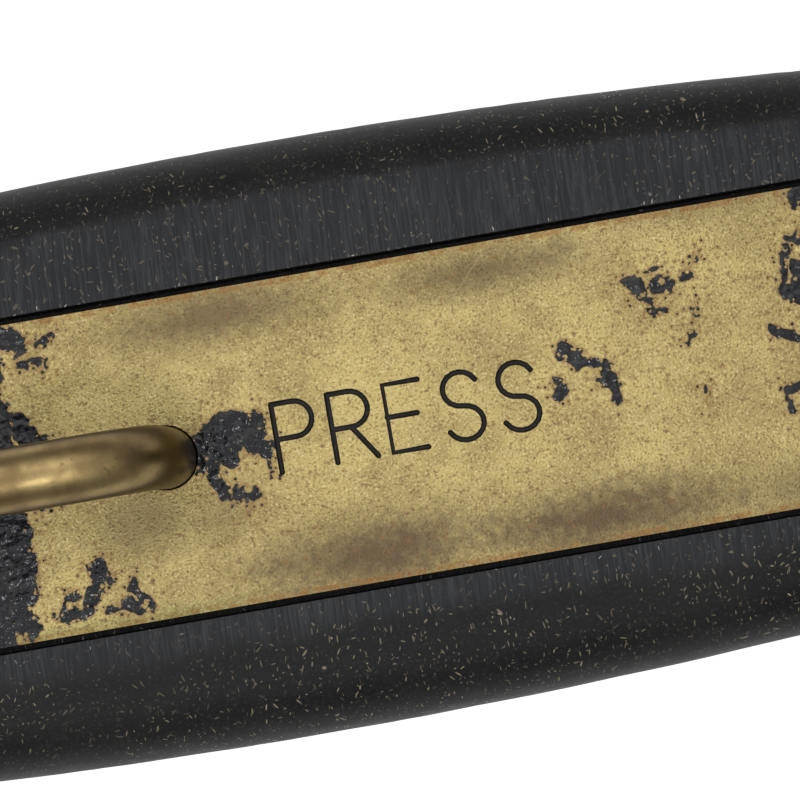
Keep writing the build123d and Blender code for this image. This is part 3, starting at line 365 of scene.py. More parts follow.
# %% Colours and sizes of the phenolic
FLOUR = (0.33, 0.28, 0.19, 1.0)
FLOUR_DARK = (0.045, 0.04, 0.03, 1.0)
LINT = (0.42, 0.41, 0.38, 1.0)
SKIN = (0.0035, 0.0037, 0.0038, 1.0)
SKIN_WORN = (0.0085, 0.0083, 0.0078, 1.0)
RUBBED = (0.0115, 0.0127, 0.0155, 1.0)
RUBBED_PALE = (0.038, 0.0395, 0.043, 1.0)
# the rubbed face stops short of the near edge, so the lower flat stays darker: painted shade
RUB_AND_SHADE_END = -8.3                 # mm, the rubbed face fades out here, towards the near edge
FLAT_FROM, FLAT_FULL = 0.955, 0.995   # upward part of the surface's direction on the flat
LINT_REACH = 1.1               # mm, lint lies this far out from the plate
PHENOLIC_IOR = 1.31            # low, because the old skin is dull
# spacing, length and thickness in mm, share and strength of three sizes of flour
flour_sizes = [(0.56, 0.44, 0.075, 0.45, 0.95), (0.38, 0.28, 0.065, 0.5, 0.9),
               (0.25, 0.15, 0.06, 0.6, 0.8)]
print("sizes of flour:", len(flour_sizes))


# %% Helpers: the rubbed face, the flour and the lint
def rubbed_and_shaded_area(tree, place, direction, clouds):
    """1 on the flat of the grip, fading out on its rounded edges and towards the near edge, so the
    lower flat stays darker as painted shade.
    """
    up = part_of(tree, direction, "Z")
    wobble = calc(tree, "MULTIPLY", calc(tree, "SUBTRACT", clouds, 0.5), 0.05)
    flat = between(tree, calc(tree, "ADD", up, wobble), FLAT_FROM, FLAT_FULL)
    across = calc(tree, "ADD", part_of(tree, place, "Y"), calc(tree, "MULTIPLY", clouds, 2.0))
    # fading out towards the near edge leaves the lower flat darker: painted shade
    return calc(tree, "MULTIPLY", flat, between(tree, across, RUB_AND_SHADE_END - 0.9, RUB_AND_SHADE_END + 0.9))


def add_flour(tree, place, base, height, seen_share):
    """Lay the splinters over a colour, and sink them a little into a height."""
    patch = between(tree, noise(tree, place, 0.17, 2.0, 0.6), 0.36, 0.6)
    patch = calc(tree, "ADD", 0.35, calc(tree, "MULTIPLY", patch, 0.65))
    for spacing, length, width, share, strength in flour_sizes:
        fleck = use(tree, flecks, {"Vector": place, "Spacing": spacing, "Length": length,
                                   "Width": width, "Share": share})
        paleness = calc(tree, "POWER", fleck["Tone"], 1.8)
        tone = blend_colour(tree, paleness, FLOUR_DARK, FLOUR)
        seen = calc(tree, "MULTIPLY", fleck["Mask"], strength)
        if seen_share is not None:
            seen = calc(tree, "MULTIPLY", seen, seen_share)
        seen = calc(tree, "MULTIPLY", seen, patch)
        base = blend_colour(tree, seen, base, tone)
        height = calc(tree, "SUBTRACT", height, calc(tree, "MULTIPLY", fleck["Mask"], 0.3))
    return base, height


def add_lint(tree, place, base):
    """Pale specks of lint on the grip, close to the plate's edges."""
    beside = calc(tree, "ABSOLUTE", part_of(tree, place, "Y"))
    edge = plate_high.y / MM
    near = calc(tree, "MULTIPLY", between(tree, beside, edge + LINT_REACH, edge + 0.35),
                between(tree, beside, edge - 0.2, edge))
    lint = use(tree, flecks, {"Vector": place, "Spacing": 0.5, "Length": 0.26, "Width": 0.06,
                              "Share": 0.4})
    return blend_colour(tree, calc(tree, "MULTIPLY", lint["Mask"], near), base, LINT)


# %% Material: phenolic
def make_phenolic(name, rubbed_face):
    material, tree, shader, place, direction = start_material(name)
    clouds = noise(tree, place, 0.22, 3.0, 0.6)
    base = blend_colour(tree, between(tree, clouds, 0.35, 0.7), SKIN, SKIN_WORN)
    fine = noise(tree, place, 6.0, 3.0, 0.65)
    height = calc(tree, "MULTIPLY", fine, 0.5)
    rough = calc(tree, "ADD", 0.46, calc(tree, "MULTIPLY", clouds, 0.2))
    base = blend_colour(tree, calc(tree, "MULTIPLY", between(tree, fine, 0.52, 0.72), 0.55), base,
                        RUBBED_PALE)
    seen_share = None
    if rubbed_face:
        flat = rubbed_and_shaded_area(tree, place, direction, clouds)
        seen_share = calc(tree, "SUBTRACT", 1.0, calc(tree, "MULTIPLY", flat, 0.5))
        rub = use(tree, rubbing, {"Vector": place, "Angle": 0.03, "Lines per mm": 9.0,
                                  "Scratch spacing": 11.0})
        worn = blend_colour(tree, between(tree, rub["Lines"], 0.4, 0.7), RUBBED, RUBBED_PALE)
        base = blend_colour(tree, flat, base, worn)
        base = blend_colour(tree, calc(tree, "MULTIPLY", rub["Scratches"], 0.3), base,
                            FLOUR_DARK)
        height = calc(tree, "ADD", height, calc(tree, "MULTIPLY", rub["Lines"], flat))
        rough = calc(tree, "SUBTRACT", rough, calc(tree, "MULTIPLY", flat, 0.08))
    base, height = add_flour(tree, place, base, height, seen_share)
    if rubbed_face:
        base = add_lint(tree, place, base)
    feed(tree, shader.inputs["Base Color"], base)
    feed(tree, shader.inputs["Roughness"], rough)
    feed(tree, shader.inputs["Normal"], bump(tree, height, FINE_RELIEF))
    shader.inputs["IOR"].default_value = PHENOLIC_IOR
    return material


grip_phenolic = make_phenolic("grip_phenolic", True)
cap_phenolic = make_phenolic("cap_phenolic", False)
print("phenolic:", len(grip_phenolic.node_tree.nodes), "nodes on the grip")

# %% [markdown]
# ## Finish: painted brass, mostly worn bare
# The plate is rolled brass that was painted. The paint survives as one sheet at the end where the
# bar keeps fingers off it, and as patches by the bar's foot and towards the other end. The brass
# itself is dull, mottled and freckled, darkest in soft bands along its edges, with a rusty line
# where it meets the grip, and one more dark band under the bar is its painted shadow with a brown
# stain.
# The patches are drawn with strokes, given by their two ends and their radius in mm, and the place
# is shaken a little first, so that no stroke stays round.


# %% Where paint is left on the plate
SHEET_EDGE = -13.45            # mm, right edge of the sheet, along the plate
SHEET_FOOT = -5.9              # the sheet steps back below this, across the plate
SHEET_STEP = 1.4               # by this much
FAR_PAINT = 25.5               # patchy paint beyond this, along the plate
# ends x, y and x, y, and radius, all in mm
strokes = [
    # lobes of the sheet above and below the bar
    (-13.4, 7.0, -12.5, 6.9, 0.4), (-12.8, 6.2, -10.9, 6.8, 0.26), (-12.8, 5.7, -11.4, 5.4, 0.28),
    (-13.2, 3.0, -12.4, 1.8, 0.5), (-13.0, -1.1, -11.0, -1.0, 0.34),
    (-14.7, -6.3, -14.2, -7.0, 0.55),
    # by the foot of the bar
    (-3.7, 0.9, -1.9, 0.7, 0.75), (-4.0, 0.2, -3.3, -0.3, 0.62), (-2.5, 0.1, -1.7, -0.3, 0.55),
    (-1.6, -0.6, -1.4, -1.6, 0.2), (-4.3, -0.6, -4.0, -2.0, 0.36), (-3.3, -2.2, -2.6, -2.6, 0.36),
    (-4.7, 0.5, -4.7, -0.7, 0.42),
    # near the lower edge, beside the sheet
    (-10.5, -4.6, -10.4, -5.3, 0.5), (-10.5, -5.4, -11.1, -6.3, 0.42),
    (-11.9, -5.8, -12.5, -6.5, 0.26), (-12.3, -6.7, -11.2, -6.8, 0.28),
    (-10.3, -6.8, -9.5, -6.7, 0.24), (-9.4, -6.7, -8.4, -6.8, 0.36), (-8.9, -5.9, -8.5, -6.6, 0.42),
    # a hook after the word
    (13.6, 1.7, 14.0, 1.1, 0.46), (14.2, 1.0, 15.3, 0.7, 0.36), (15.3, 0.2, 15.4, -0.7, 0.46),
    (12.7, 0.4, 12.9, -0.3, 0.28),
    # a broken ring above it
    (17.2, 4.4, 17.4, 4.0, 0.42), (17.4, 3.8, 18.1, 3.4, 0.24), (18.4, 4.1, 18.9, 4.1, 0.38),
    (17.9, 4.8, 18.8, 5.0, 0.11), (19.8, 4.2, 20.0, 4.3, 0.22), (20.2, 4.6, 20.8, 5.3, 0.1),
    (18.0, 2.8, 18.6, 2.9, 0.17), (20.1, 2.9, 19.7, 2.0, 0.14), (19.4, 1.4, 19.4, 1.2, 0.24),
    (19.9, -1.2, 19.8, -2.0, 0.15),
    # thicker again towards the far end
    (24.9, 4.8, 24.5, 3.5, 0.22), (24.6, 2.9, 25.4, 2.7, 0.46), (25.2, 5.3, 26.2, 4.9, 0.27),
    (23.5, 0.9, 24.8, 0.5, 0.28), (23.7, -2.0, 24.6, -1.9, 0.3), (23.6, -2.3, 23.7, -2.9, 0.24),
]
# soft tarnish, and under the bar a painted shadow with a brown stain: middle and half sizes in mm,
# and strength
bands = [
    (-3.0, 6.4, 6.5, 1.5, 0.85), (10.0, 6.3, 5.5, 1.3, 0.8), (22.0, 7.6, 6.0, 1.0, 0.4),
    # the band at -8.0, -2.9 is the bar's shadow painted on the plate, with a brown stain
    (2.5, -6.3, 6.8, 2.2, 1.0), (14.0, -6.4, 8.5, 1.7, 1.0), (-8.0, -2.9, 2.8, 1.9, 0.6),
    (-4.5, -3.2, 2.6, 1.6, 0.4), (25.0, -6.6, 6.0, 1.6, 0.6),
]
print("strokes of paint:", len(strokes), "bands of tarnish:", len(bands))


# %% Colours of the plate
BRASS = (0.50, 0.40, 0.165, 1.0)
BRASS_DULL = (0.385, 0.30, 0.125, 1.0)
BRASS_PALE = (0.70, 0.60, 0.31, 1.0)
BRASS_TARNISH_AND_SHADOW = (0.145, 0.104, 0.061, 1.0)
FRECKLE = (0.235, 0.125, 0.055, 1.0)
PIT = (0.10, 0.07, 0.035, 1.0)
RUST_LINE = (0.25, 0.105, 0.03, 1.0)
VERDIGRIS = (0.13, 0.17, 0.055, 1.0)
ENAMEL = (0.0055, 0.0062, 0.009, 1.0)
ENAMEL_THIN = (0.026, 0.027, 0.025, 1.0)
METAL_RELIEF = 0.04            # mm, grain and rubbed lines of the bare brass
PAINT_RELIEF = 0.2             # mm, the slow wrinkles of the paint
PAINT_IOR = 1.36
print("bare brass:", BRASS[:3], "paint:", ENAMEL[:3])


# %% Helpers: how far inside the paint a place is
def shaken(tree, vector, scale, amount):
    """The vector, moved about by soft noise by up to about half the amount, in mm."""
    wave = put(tree, "TexNoise", {"Vector": vector, "Scale": scale, "Detail": 1.0}, out="Color")
    wave = put(tree, "VectorMath", {0: wave, 1: (0.5, 0.5, 0.5)}, operation="SUBTRACT")
    wave = put(tree, "VectorMath", {0: wave, "Scale": amount}, operation="SCALE")
    return put(tree, "VectorMath", {0: vector, 1: wave}, operation="ADD")


def draw_strokes(tree, flat, cover):
    """Join the strokes to a cover. Each is as deep as its radius less the distance to its line."""
    offset, origin = flat, Vector((0.0, 0.0, 0.0))
    for x, y, end_x, end_y, radius in strokes:
        start = Vector((x, y, 0.0))
        run = Vector((end_x - x, end_y - y, 0.0))
        offset = put(tree, "VectorMath", {0: offset, 1: start - origin}, operation="SUBTRACT")
        origin = start
        share = put(tree, "VectorMath", {0: offset, 1: run / run.length_squared}, out="Value",
                    operation="DOT_PRODUCT")
        share = calc(tree, "MULTIPLY", share, 1.0, clamp=True)
        nearest = put(tree, "VectorMath", {0: run, "Scale": share}, operation="SCALE")
        reach = put(tree, "VectorMath", {0: offset, 1: nearest}, out="Value",
                    operation="DISTANCE")
        cover = calc(tree, "MAXIMUM", cover, calc(tree, "SUBTRACT", radius, reach))
    return cover


def paint_cover(tree, flat):
    """How far inside the paint a place on the plate is, in mm."""
    flat = shaken(tree, shaken(tree, flat, 0.8, 1.1), 2.6, 0.45)
    along = part_of(tree, flat, "X")
    across = part_of(tree, flat, "Y")
    sheet = calc(tree, "SUBTRACT", SHEET_EDGE, along)
    step = between(tree, across, SHEET_FOOT + 0.3, SHEET_FOOT - 0.3)
    sheet = calc(tree, "SUBTRACT", sheet, calc(tree, "MULTIPLY", step, SHEET_STEP))
    worn = calc(tree, "SUBTRACT", noise(tree, flat, 0.28, 3.0, 0.6), 0.36)
    cover = calc(tree, "MINIMUM", sheet, calc(tree, "MULTIPLY", worn, 6.0))
    far = calc(tree, "SUBTRACT", noise(tree, flat, 0.42, 3.0, 0.6), 0.5)
    beyond = calc(tree, "MINIMUM", calc(tree, "SUBTRACT", along, FAR_PAINT), 0.0)
    far = calc(tree, "ADD", calc(tree, "MULTIPLY", far, 5.0), beyond)
    return draw_strokes(tree, flat, calc(tree, "MAXIMUM", cover, far))


# %% Helper: the bare brass of the plate
def tarnish_and_shadow_bands(tree, flat, ragged):
    """Soft dark bands of tarnish, one of them the bar's painted shadow: 0 to 1, from the list of
    bands and a noise that frays them.
    """
    dark = 0.0
    for x, y, half_x, half_y, strength in bands:
        offset = put(tree, "VectorMath", {0: flat, 1: (x, y, 0.0)}, operation="SUBTRACT")
        scaled = put(tree, "VectorMath", {0: offset, 1: (1 / half_x, 1 / half_y, 0.0)},
                     operation="MULTIPLY")
        reach = put(tree, "VectorMath", {0: scaled}, out="Value", operation="LENGTH")
        reach = calc(tree, "ADD", reach, ragged)
        band = calc(tree, "MULTIPLY", between(tree, reach, 1.5, 0.0), strength)
        dark = calc(tree, "MAXIMUM", dark, band)
    return dark


def edge_stains(tree, place, base, frayed):
    """A broken line of rust along both edges, and some verdigris at the near one."""
    across = part_of(tree, place, "Y")
    beside = calc(tree, "ABSOLUTE", across)
    edge = plate_high.y / MM
    line = calc(tree, "MULTIPLY", between(tree, beside, edge - 0.38, edge - 0.2),
                between(tree, frayed, 0.4, 0.55))
    base = blend_colour(tree, calc(tree, "MULTIPLY", line, 0.55), base, RUST_LINE)
    green = calc(tree, "MULTIPLY", between(tree, across, 0.9 - edge, 0.2 - edge),
                 between(tree, part_of(tree, place, "X"), 0.0, -8.0))
    return blend_colour(tree, calc(tree, "MULTIPLY", green, 0.3), base, VERDIGRIS)


def bare_brass(tree, place, flat, stain):
    """The colour of the plate where no paint is left."""
    base = blend_colour(tree, between(tree, stain["Clouds"], 0.36, 0.66), BRASS, BRASS_DULL)
    pale = between(tree, stain["Grain"], 0.46, 0.3)
    base = blend_colour(tree, calc(tree, "MULTIPLY", pale, 0.75), base, BRASS_PALE)
    frayed = noise(tree, place, 1.7, 3.0, 0.7)
    ragged = calc(tree, "SUBTRACT", calc(tree, "ADD", stain["Clouds"], frayed), 1.0)
    ragged = calc(tree, "MULTIPLY", ragged, 1.25)
    # darken the bands: tarnish, and under the bar a painted shadow
    base = blend_colour(tree, tarnish_and_shadow_bands(tree, flat, ragged), base, BRASS_TARNISH_AND_SHADOW)
    base = blend_colour(tree, calc(tree, "MULTIPLY", stain["Freckles"], 0.7), base, FRECKLE)
    base = blend_colour(tree, calc(tree, "MULTIPLY", stain["Pits"], 0.55), base, PIT)
    return edge_stains(tree, place, base, frayed)


# %% Material: painted brass
def make_plate_brass(name):
    material, tree, shader, place, _ = start_material(name)
    flat = put(tree, "VectorMath", {0: place, 1: (1.0, 1.0, 0.0)}, operation="MULTIPLY")
    stain = use(tree, tarnish, {"Vector": place, "Cloud size": 2.6, "Freckles": 0.85,
                                "Pits": 0.9})
    base = bare_brass(tree, place, flat, stain)
    rub = use(tree, rubbing, {"Vector": place, "Angle": 1.45, "Lines per mm": 5.0,
                              "Scratch spacing": 13.0})
    base = blend_colour(tree, calc(tree, "MULTIPLY", rub["Scratches"], 0.16), base, BRASS_PALE)
    paint = use(tree, worn_enamel, {"Vector": flat, "Cover": paint_cover(tree, flat)})
    # brown the rim: dirt, and painted shade of the paint's raised edge
    base = blend_colour(tree, calc(tree, "MULTIPLY", paint["Rim dirt and shade"], 0.55), base, FRECKLE)
    skin = blend_colour(tree, paint["Thin"], ENAMEL, ENAMEL_THIN)
    base = blend_colour(tree, paint["Mask"], base, skin)
    feed(tree, shader.inputs["Base Color"], base)
    bare = calc(tree, "SUBTRACT", 1.0, paint["Mask"])
    clean = calc(tree, "SUBTRACT", 1.0, calc(tree, "MULTIPLY", stain["Freckles"], 0.4))
    feed(tree, shader.inputs["Metallic"], calc(tree, "MULTIPLY", bare, clean))
    rough = calc(tree, "ADD", 0.46, calc(tree, "MULTIPLY", stain["Clouds"], 0.12))
    rough = calc(tree, "SUBTRACT", rough, calc(tree, "MULTIPLY", paint["Mask"], 0.34))
    feed(tree, shader.inputs["Roughness"], rough)
    metal = calc(tree, "SUBTRACT", calc(tree, "MULTIPLY", rub["Lines"], 0.2),
                 calc(tree, "MULTIPLY", stain["Grain"], 1.1))
    wrinkled = bump(tree, noise(tree, flat, 1.9, 1.6, 0.5), PAINT_RELIEF)
    feed(tree, shader.inputs["Normal"],
         put(tree, "Mix", {0: paint["Mask"], 4: bump(tree, metal, METAL_RELIEF), 5: wrinkled},
             out=1, data_type="VECTOR"))
    shader.inputs["IOR"].default_value = PAINT_IOR
    return material


plate_brass = make_plate_brass("painted_brass")
print("painted brass:", len(plate_brass.node_tree.nodes), "nodes")

# %% [markdown]
# ## Finish: bare metals
# The bar, screws, springs, contacts and capsules are bare metals that differ in colour, in how far
# they have tarnished and in how smooth they are. One recipe takes these as values. The bar is
# rubbed by fingers on its top, and its sides and underside are darkened as painted shade, so for
# it the recipe also looks at the surface's direction.


# %% Materials: bare metals
def make_metal(name, colour, dull, rough, freckled=0.3, pitted=0.2, lined=0.2, cloud=3.0,
               angle=0.0, handled_and_shaded=False):
    material, tree, shader, place, direction = start_material(name)
    stain = use(tree, tarnish, {"Vector": place, "Cloud size": cloud, "Freckles": freckled,
                                "Pits": pitted})
    base = blend_colour(tree, between(tree, stain["Clouds"], 0.35, 0.68), (*colour, 1.0),
                        (*dull, 1.0))
    if handled_and_shaded:
        # the bar's sides and underside, facing away from the sky, get a darker brass: painted shade,
        # with the rubbed top left bright
        top = between(tree, part_of(tree, direction, "Z"), 0.2, 0.85)
        base = blend_colour(tree, top, (*[0.55 * part for part in dull], 1.0), base)
    brown = tuple(0.45 * part for part in dull)
    base = blend_colour(tree, calc(tree, "MULTIPLY", stain["Freckles"], 0.5), base, (*brown, 1.0))
    base = blend_colour(tree, calc(tree, "MULTIPLY", stain["Pits"], 0.7), base,
                        (*[0.2 * part for part in dull], 1.0))
    feed(tree, shader.inputs["Base Color"], base)
    rub = use(tree, rubbing, {"Vector": place, "Angle": angle, "Lines per mm": 6.0,
                              "Scratch spacing": 5.0})
    uneven = calc(tree, "MULTIPLY", calc(tree, "SUBTRACT", stain["Clouds"], 0.5), 0.3)
    feed(tree, shader.inputs["Roughness"], calc(tree, "ADD", uneven, rough))
    height = calc(tree, "ADD", calc(tree, "MULTIPLY", stain["Grain"], 0.3),
                  calc(tree, "MULTIPLY", rub["Lines"], lined))
    height = calc(tree, "SUBTRACT", height, calc(tree, "MULTIPLY", stain["Pits"], 0.5))
    feed(tree, shader.inputs["Normal"], bump(tree, height, FINE_RELIEF))
    shader.inputs["Metallic"].default_value = 1.0
    return material


metals = {
    "bar_brass": make_metal("rubbed_and_shaded_brass", (0.33, 0.245, 0.108), (0.2, 0.14, 0.062), 0.38,
                            freckled=0.6, pitted=0.3, lined=0.3, cloud=1.7, handled_and_shaded=True),
    "screw_brass": make_metal("screw_brass", (0.48, 0.37, 0.15), (0.3, 0.22, 0.1), 0.4,
                              freckled=0.8, pitted=0.4),
    "brass_fittings": make_metal("turned_brass", (0.68, 0.52, 0.24), (0.55, 0.4, 0.18), 0.3),
    "spring_bronze": make_metal("spring_bronze", (0.62, 0.42, 0.25), (0.5, 0.32, 0.18), 0.28,
                                lined=0.5, angle=1.57),
    "contact_silver": make_metal("contact_silver", (0.8, 0.79, 0.76), (0.6, 0.58, 0.54), 0.22),
    "spring_steel": make_metal("spring_steel", (0.42, 0.42, 0.43), (0.3, 0.29, 0.28), 0.3),
    "plated_steel": make_metal("nickel_plate", (0.66, 0.65, 0.62), (0.5, 0.49, 0.46), 0.24),
    "capsule_aluminium": make_metal("drawn_aluminium", (0.72, 0.72, 0.73), (0.6, 0.6, 0.61), 0.38,
                                    lined=0.4),
    "magnet_steel": make_metal("magnet_steel", (0.2, 0.2, 0.21), (0.13, 0.13, 0.135), 0.5,
                               pitted=0.5),
    "soft_iron": make_metal("soft_iron", (0.44, 0.44, 0.45), (0.32, 0.31, 0.3), 0.42, lined=0.4),
}
print("bare metals:", len(metals))

# %% [markdown]
# ## Finish: insulation, winding, lacquer and rubber
# Four small finishes for what is inside. The laminated board shows its layers at its cut edges,
# the winding shows its turns with painted shade in the grooves between them, the receiver's
# diaphragm is lacquered iron, and the leads are covered in red rubber.


# %% Materials: inner pieces
def make_soft(name, colour, dark, rough, layers=0.0, turns=0.0):
    """A plain non-metal: cloudy colour, fine grain, and layers or turns along Z, with painted shade
    in the grooves between turns.
    """
    material, tree, shader, place, _ = start_material(name)
    clouds = noise(tree, place, 3.0, 4.0, 0.6)
    base = blend_colour(tree, between(tree, clouds, 0.35, 0.65), (*colour, 1.0), (*dark, 1.0))
    height = calc(tree, "MULTIPLY", clouds, 0.4)
    if layers:
        sheet = noise(tree, place, 1.0, 2.0, 0.5, (0.3, 0.3, layers))
        base = blend_colour(tree, between(tree, sheet, 0.5, 0.56), base, (*dark, 1.0))
    if turns:
        wave = calc(tree, "SINE", calc(tree, "MULTIPLY", part_of(tree, place, "Z"), turns))
        height = calc(tree, "ADD", height, wave)
        # the grooves between the turns are darkened: painted shade
        base = blend_colour(tree, between(tree, wave, 0.2, -0.9), base, (*dark, 1.0))
    feed(tree, shader.inputs["Base Color"], base)
    feed(tree, shader.inputs["Normal"], bump(tree, height, PLAIN_RELIEF))
    feed(tree, shader.inputs["Roughness"], calc(tree, "ADD", rough,
                                                calc(tree, "MULTIPLY", clouds, 0.15)))
    return material


soft_finishes = {
    "insulation": make_soft("laminated_board", (0.2, 0.09, 0.035), (0.1, 0.045, 0.02), 0.4, 14.0),
    "winding": make_soft("wound_wire", (0.36, 0.12, 0.05), (0.08, 0.02, 0.01), 0.25, turns=42.0),
    "diaphragm_iron": make_soft("lacquered_iron", (0.05, 0.05, 0.055), (0.03, 0.03, 0.03), 0.3),
    "lead_cover": make_soft("red_rubber", (0.26, 0.035, 0.02), (0.15, 0.02, 0.015), 0.5),
}
print("inner finishes:", len(soft_finishes))

# %% [markdown]
# ## Give the ready-made pieces their finishes
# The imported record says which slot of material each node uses, so the finishes are handed out by
# slot. The two caps share the grip's slot, but they get the phenolic without the rubbed face.


# %% Hand out the finishes
finishes = {"phenolic": grip_phenolic, "plate_brass": plate_brass, **metals, **soft_finishes}
slot_of = {part["node"]: part["material_slot"] for part in frame["record"]["subparts"]}


def dress(thing, material):
    """Put one material in every slot of an object."""
    if not thing.data.materials:
        thing.data.materials.append(material)
    for slot in thing.material_slots:
        slot.material = material


for name, thing in nodes.items():
    dress(thing, cap_phenolic if name.endswith("_cap") else finishes[slot_of[name]])
print("dressed:", len(slot_of), "pieces")

# %% [markdown]
# ## Geometry: the word cut into the plate
# Plates of this kind are engraved and the grooves filled black. Here the word is a plain PRESS. A
# single-line letter is a list of strokes. Each stroke becomes a round cutter, made from a curve
# with thickness and a ball at each end. A copy of the plate first gets a narrow bevel, because a
# stamped plate has no knife edges. A Boolean then cuts the strokes out of it, so the grooves are
# real, and their faces keep the cutters' black filling.


# %% Strokes of the letters
CAP_HEIGHT = 3.3               # all sizes of the word are in mm
LETTER_PITCH = 2.72
LETTER_HALF = 0.3              # half a letter's width, as a share of its height
GROOVE_RADIUS = 0.15
BALL_SHARE = 0.995             # balls at a stroke's ends, just thinner than the stroke
GROOVE_RISE = 0.045            # middle of the cutter above the plate
WORD_MIDDLE = 5.45             # along the plate
WORD = "PRESS"


def arc(middle_x, middle_y, radius_x, radius_y, start, end, steps=12):
    """Points on part of an ellipse, in degrees."""
    angles = [math.radians(start + (end - start) * i / steps) for i in range(steps + 1)]
    return [(middle_x + radius_x * math.cos(a), middle_y + radius_y * math.sin(a)) for a in angles]


bowl = [(0.0, 1.0), (0.3, 1.0), *arc(0.3, 0.74, 0.26, 0.26, 90, -90), (0.0, 0.48)]
letters = {
    "P": [[(0.0, 0.0), (0.0, 1.0)], bowl],
    "R": [[(0.0, 0.0), (0.0, 1.0)], bowl, [(0.28, 0.48), (0.6, 0.0)]],
    "E": [[(0.52, 1.0), (0.0, 1.0), (0.0, 0.0), (0.52, 0.0)], [(0.0, 0.52), (0.44, 0.52)]],
    "S": [[*arc(0.29, 0.75, 0.26, 0.25, 25, 270), *arc(0.29, 0.25, 0.27, 0.25, 90, -155)]],
}


FILLING = (0.004, 0.004, 0.004, 1.0)
FILLING_DUSTY = (0.03, 0.022, 0.012, 1.0)


def groove_material():
    material, tree, shader, place, _ = start_material("legend_black")
    clouds = noise(tree, place, 3.0, 4.0, 0.6)
    base = blend_colour(tree, between(tree, clouds, 0.5, 0.75), FILLING, FILLING_DUSTY)
    feed(tree, shader.inputs["Base Color"], base)
    feed(tree, shader.inputs["Roughness"], calc(tree, "ADD", 0.5,
                                                calc(tree, "MULTIPLY", clouds, 0.2)))
    feed(tree, shader.inputs["Normal"], bump(tree, clouds, PLAIN_RELIEF))
    shader.inputs["Specular IOR Level"].default_value = 0.3
    return material


def stroke_cutter(points):
    """A round groove cutter along one stroke, as a mesh."""
    curve = bpy.data.curves.new("stroke", "CURVE")
    curve.dimensions = "3D"
    curve.bevel_depth = GROOVE_RADIUS * MM
    curve.bevel_resolution = 3
    curve.use_fill_caps = True
    line = curve.splines.new("POLY")
    line.points.add(len(points) - 1)
    for point, (x, y, z) in zip(line.points, points):
        point.co = (x, y, z, 1.0)
    holder = bpy.data.objects.new("stroke", curve)
    mesh = bpy.data.meshes.new_from_object(holder)
    bpy.data.objects.remove(holder)
    return mesh


def make_word(word):
    """All the strokes of a word, as one object with the filling's material."""
    joined = bmesh.new()
    depth = plate_high.z + GROOVE_RISE * MM
    width = LETTER_PITCH * (len(word) - 1)
    for index, letter in enumerate(word):
        left = WORD_MIDDLE - width / 2 + index * LETTER_PITCH - LETTER_HALF * CAP_HEIGHT
        for stroke in letters[letter]:
            points = [((left + x * CAP_HEIGHT) * MM, (y - 0.5) * CAP_HEIGHT * MM, depth)
                      for x, y in stroke]
            joined.from_mesh(stroke_cutter(points))
            for end in (points[0], points[-1]):
                bmesh.ops.create_uvsphere(joined, u_segments=12, v_segments=8,
                                          radius=GROOVE_RADIUS * BALL_SHARE * MM,
                                          matrix=Matrix.Translation(end))
    mesh = bpy.data.meshes.new("word_cutter")
    joined.to_mesh(mesh)
    joined.free()
    mesh.materials.append(groove_material())
    cutter = bpy.data.objects.new("word_cutter", mesh)
    bpy.context.scene.collection.objects.link(cutter)
    return cutter


def apply_modifiers(thing):
    """Turn an object's modifiers into its mesh."""
    graph = bpy.context.evaluated_depsgraph_get()
    mesh = bpy.data.meshes.new_from_object(thing.evaluated_get(graph))
    thing.modifiers.clear()
    thing.data = mesh


# %% Bevel the plate and cut the word
PLATE_BEVEL = 0.12             # mm
engraved_plate = bpy.data.objects.new("engraved_plate", nodes["cover_plate"].data.copy())
bpy.context.scene.collection.objects.link(engraved_plate)
rounding = engraved_plate.modifiers.new("edges", "BEVEL")
rounding.width = PLATE_BEVEL * MM
rounding.segments = 2
rounding.limit_method = "ANGLE"
rounding.angle_limit = math.radians(50)
word_cutter = make_word(WORD)
carve = engraved_plate.modifiers.new("word", "BOOLEAN")
carve.object = word_cutter
carve.operation = "DIFFERENCE"
carve.solver = "EXACT"
carve.use_self = True
carve.material_mode = "TRANSFER"
before = len(engraved_plate.data.polygons)
apply_modifiers(engraved_plate)
bpy.data.objects.remove(word_cutter)
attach(engraved_plate, "handle")
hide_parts("cover_plate")
print("plate faces before and after the word:", before, len(engraved_plate.data.polygons))

# %% [markdown]
# ## Geometry: the return spring
# The spring is five turns of round wire between the pocket's floor and the yoke. A helix worked
# out point by point and given a round section looks like wire, and the same helper lays the
# threads further on. The spring flattens as the bar goes down.


# %% Wind the spring
SPRING_TURNS = 5
spring_low, spring_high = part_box("return_spring")
WIRE = 0.8 * MM


def wind(name, low, high, radius, middle, turns, wire, steps=28):
    """A helix of round wire between two heights, as a mesh object."""
    curve = bpy.data.curves.new(name, "CURVE")
    curve.dimensions = "3D"
    curve.bevel_depth = wire / 2
    curve.bevel_resolution = 3
    curve.use_fill_caps = True
    line = curve.splines.new("POLY")
    count = turns * steps
    line.points.add(count)
    for i, point in enumerate(line.points):
        angle = 2 * math.pi * i / steps
        height = low + wire / 2 + (high - low - wire) * i / count
        point.co = (middle.x + radius * math.cos(angle), middle.y + radius * math.sin(angle),
                    height, 1.0)
    holder = bpy.data.objects.new(name, curve)
    mesh = bpy.data.meshes.new_from_object(holder)
    bpy.data.objects.remove(holder)
    wound = bpy.data.objects.new(name, mesh)
    bpy.context.scene.collection.objects.link(wound)
    for face in mesh.polygons:
        face.use_smooth = True
    return wound


spring_middle = (spring_low + spring_high) / 2
spring_radius = (spring_high.x - spring_low.x - WIRE) / 2
wound_spring = wind("wound_spring", spring_low.z, spring_high.z, spring_radius, spring_middle,
                    SPRING_TURNS, WIRE)
dress(wound_spring, metals["spring_steel"])
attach(wound_spring, "handle")
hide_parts("return_spring")
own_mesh(wound_spring)

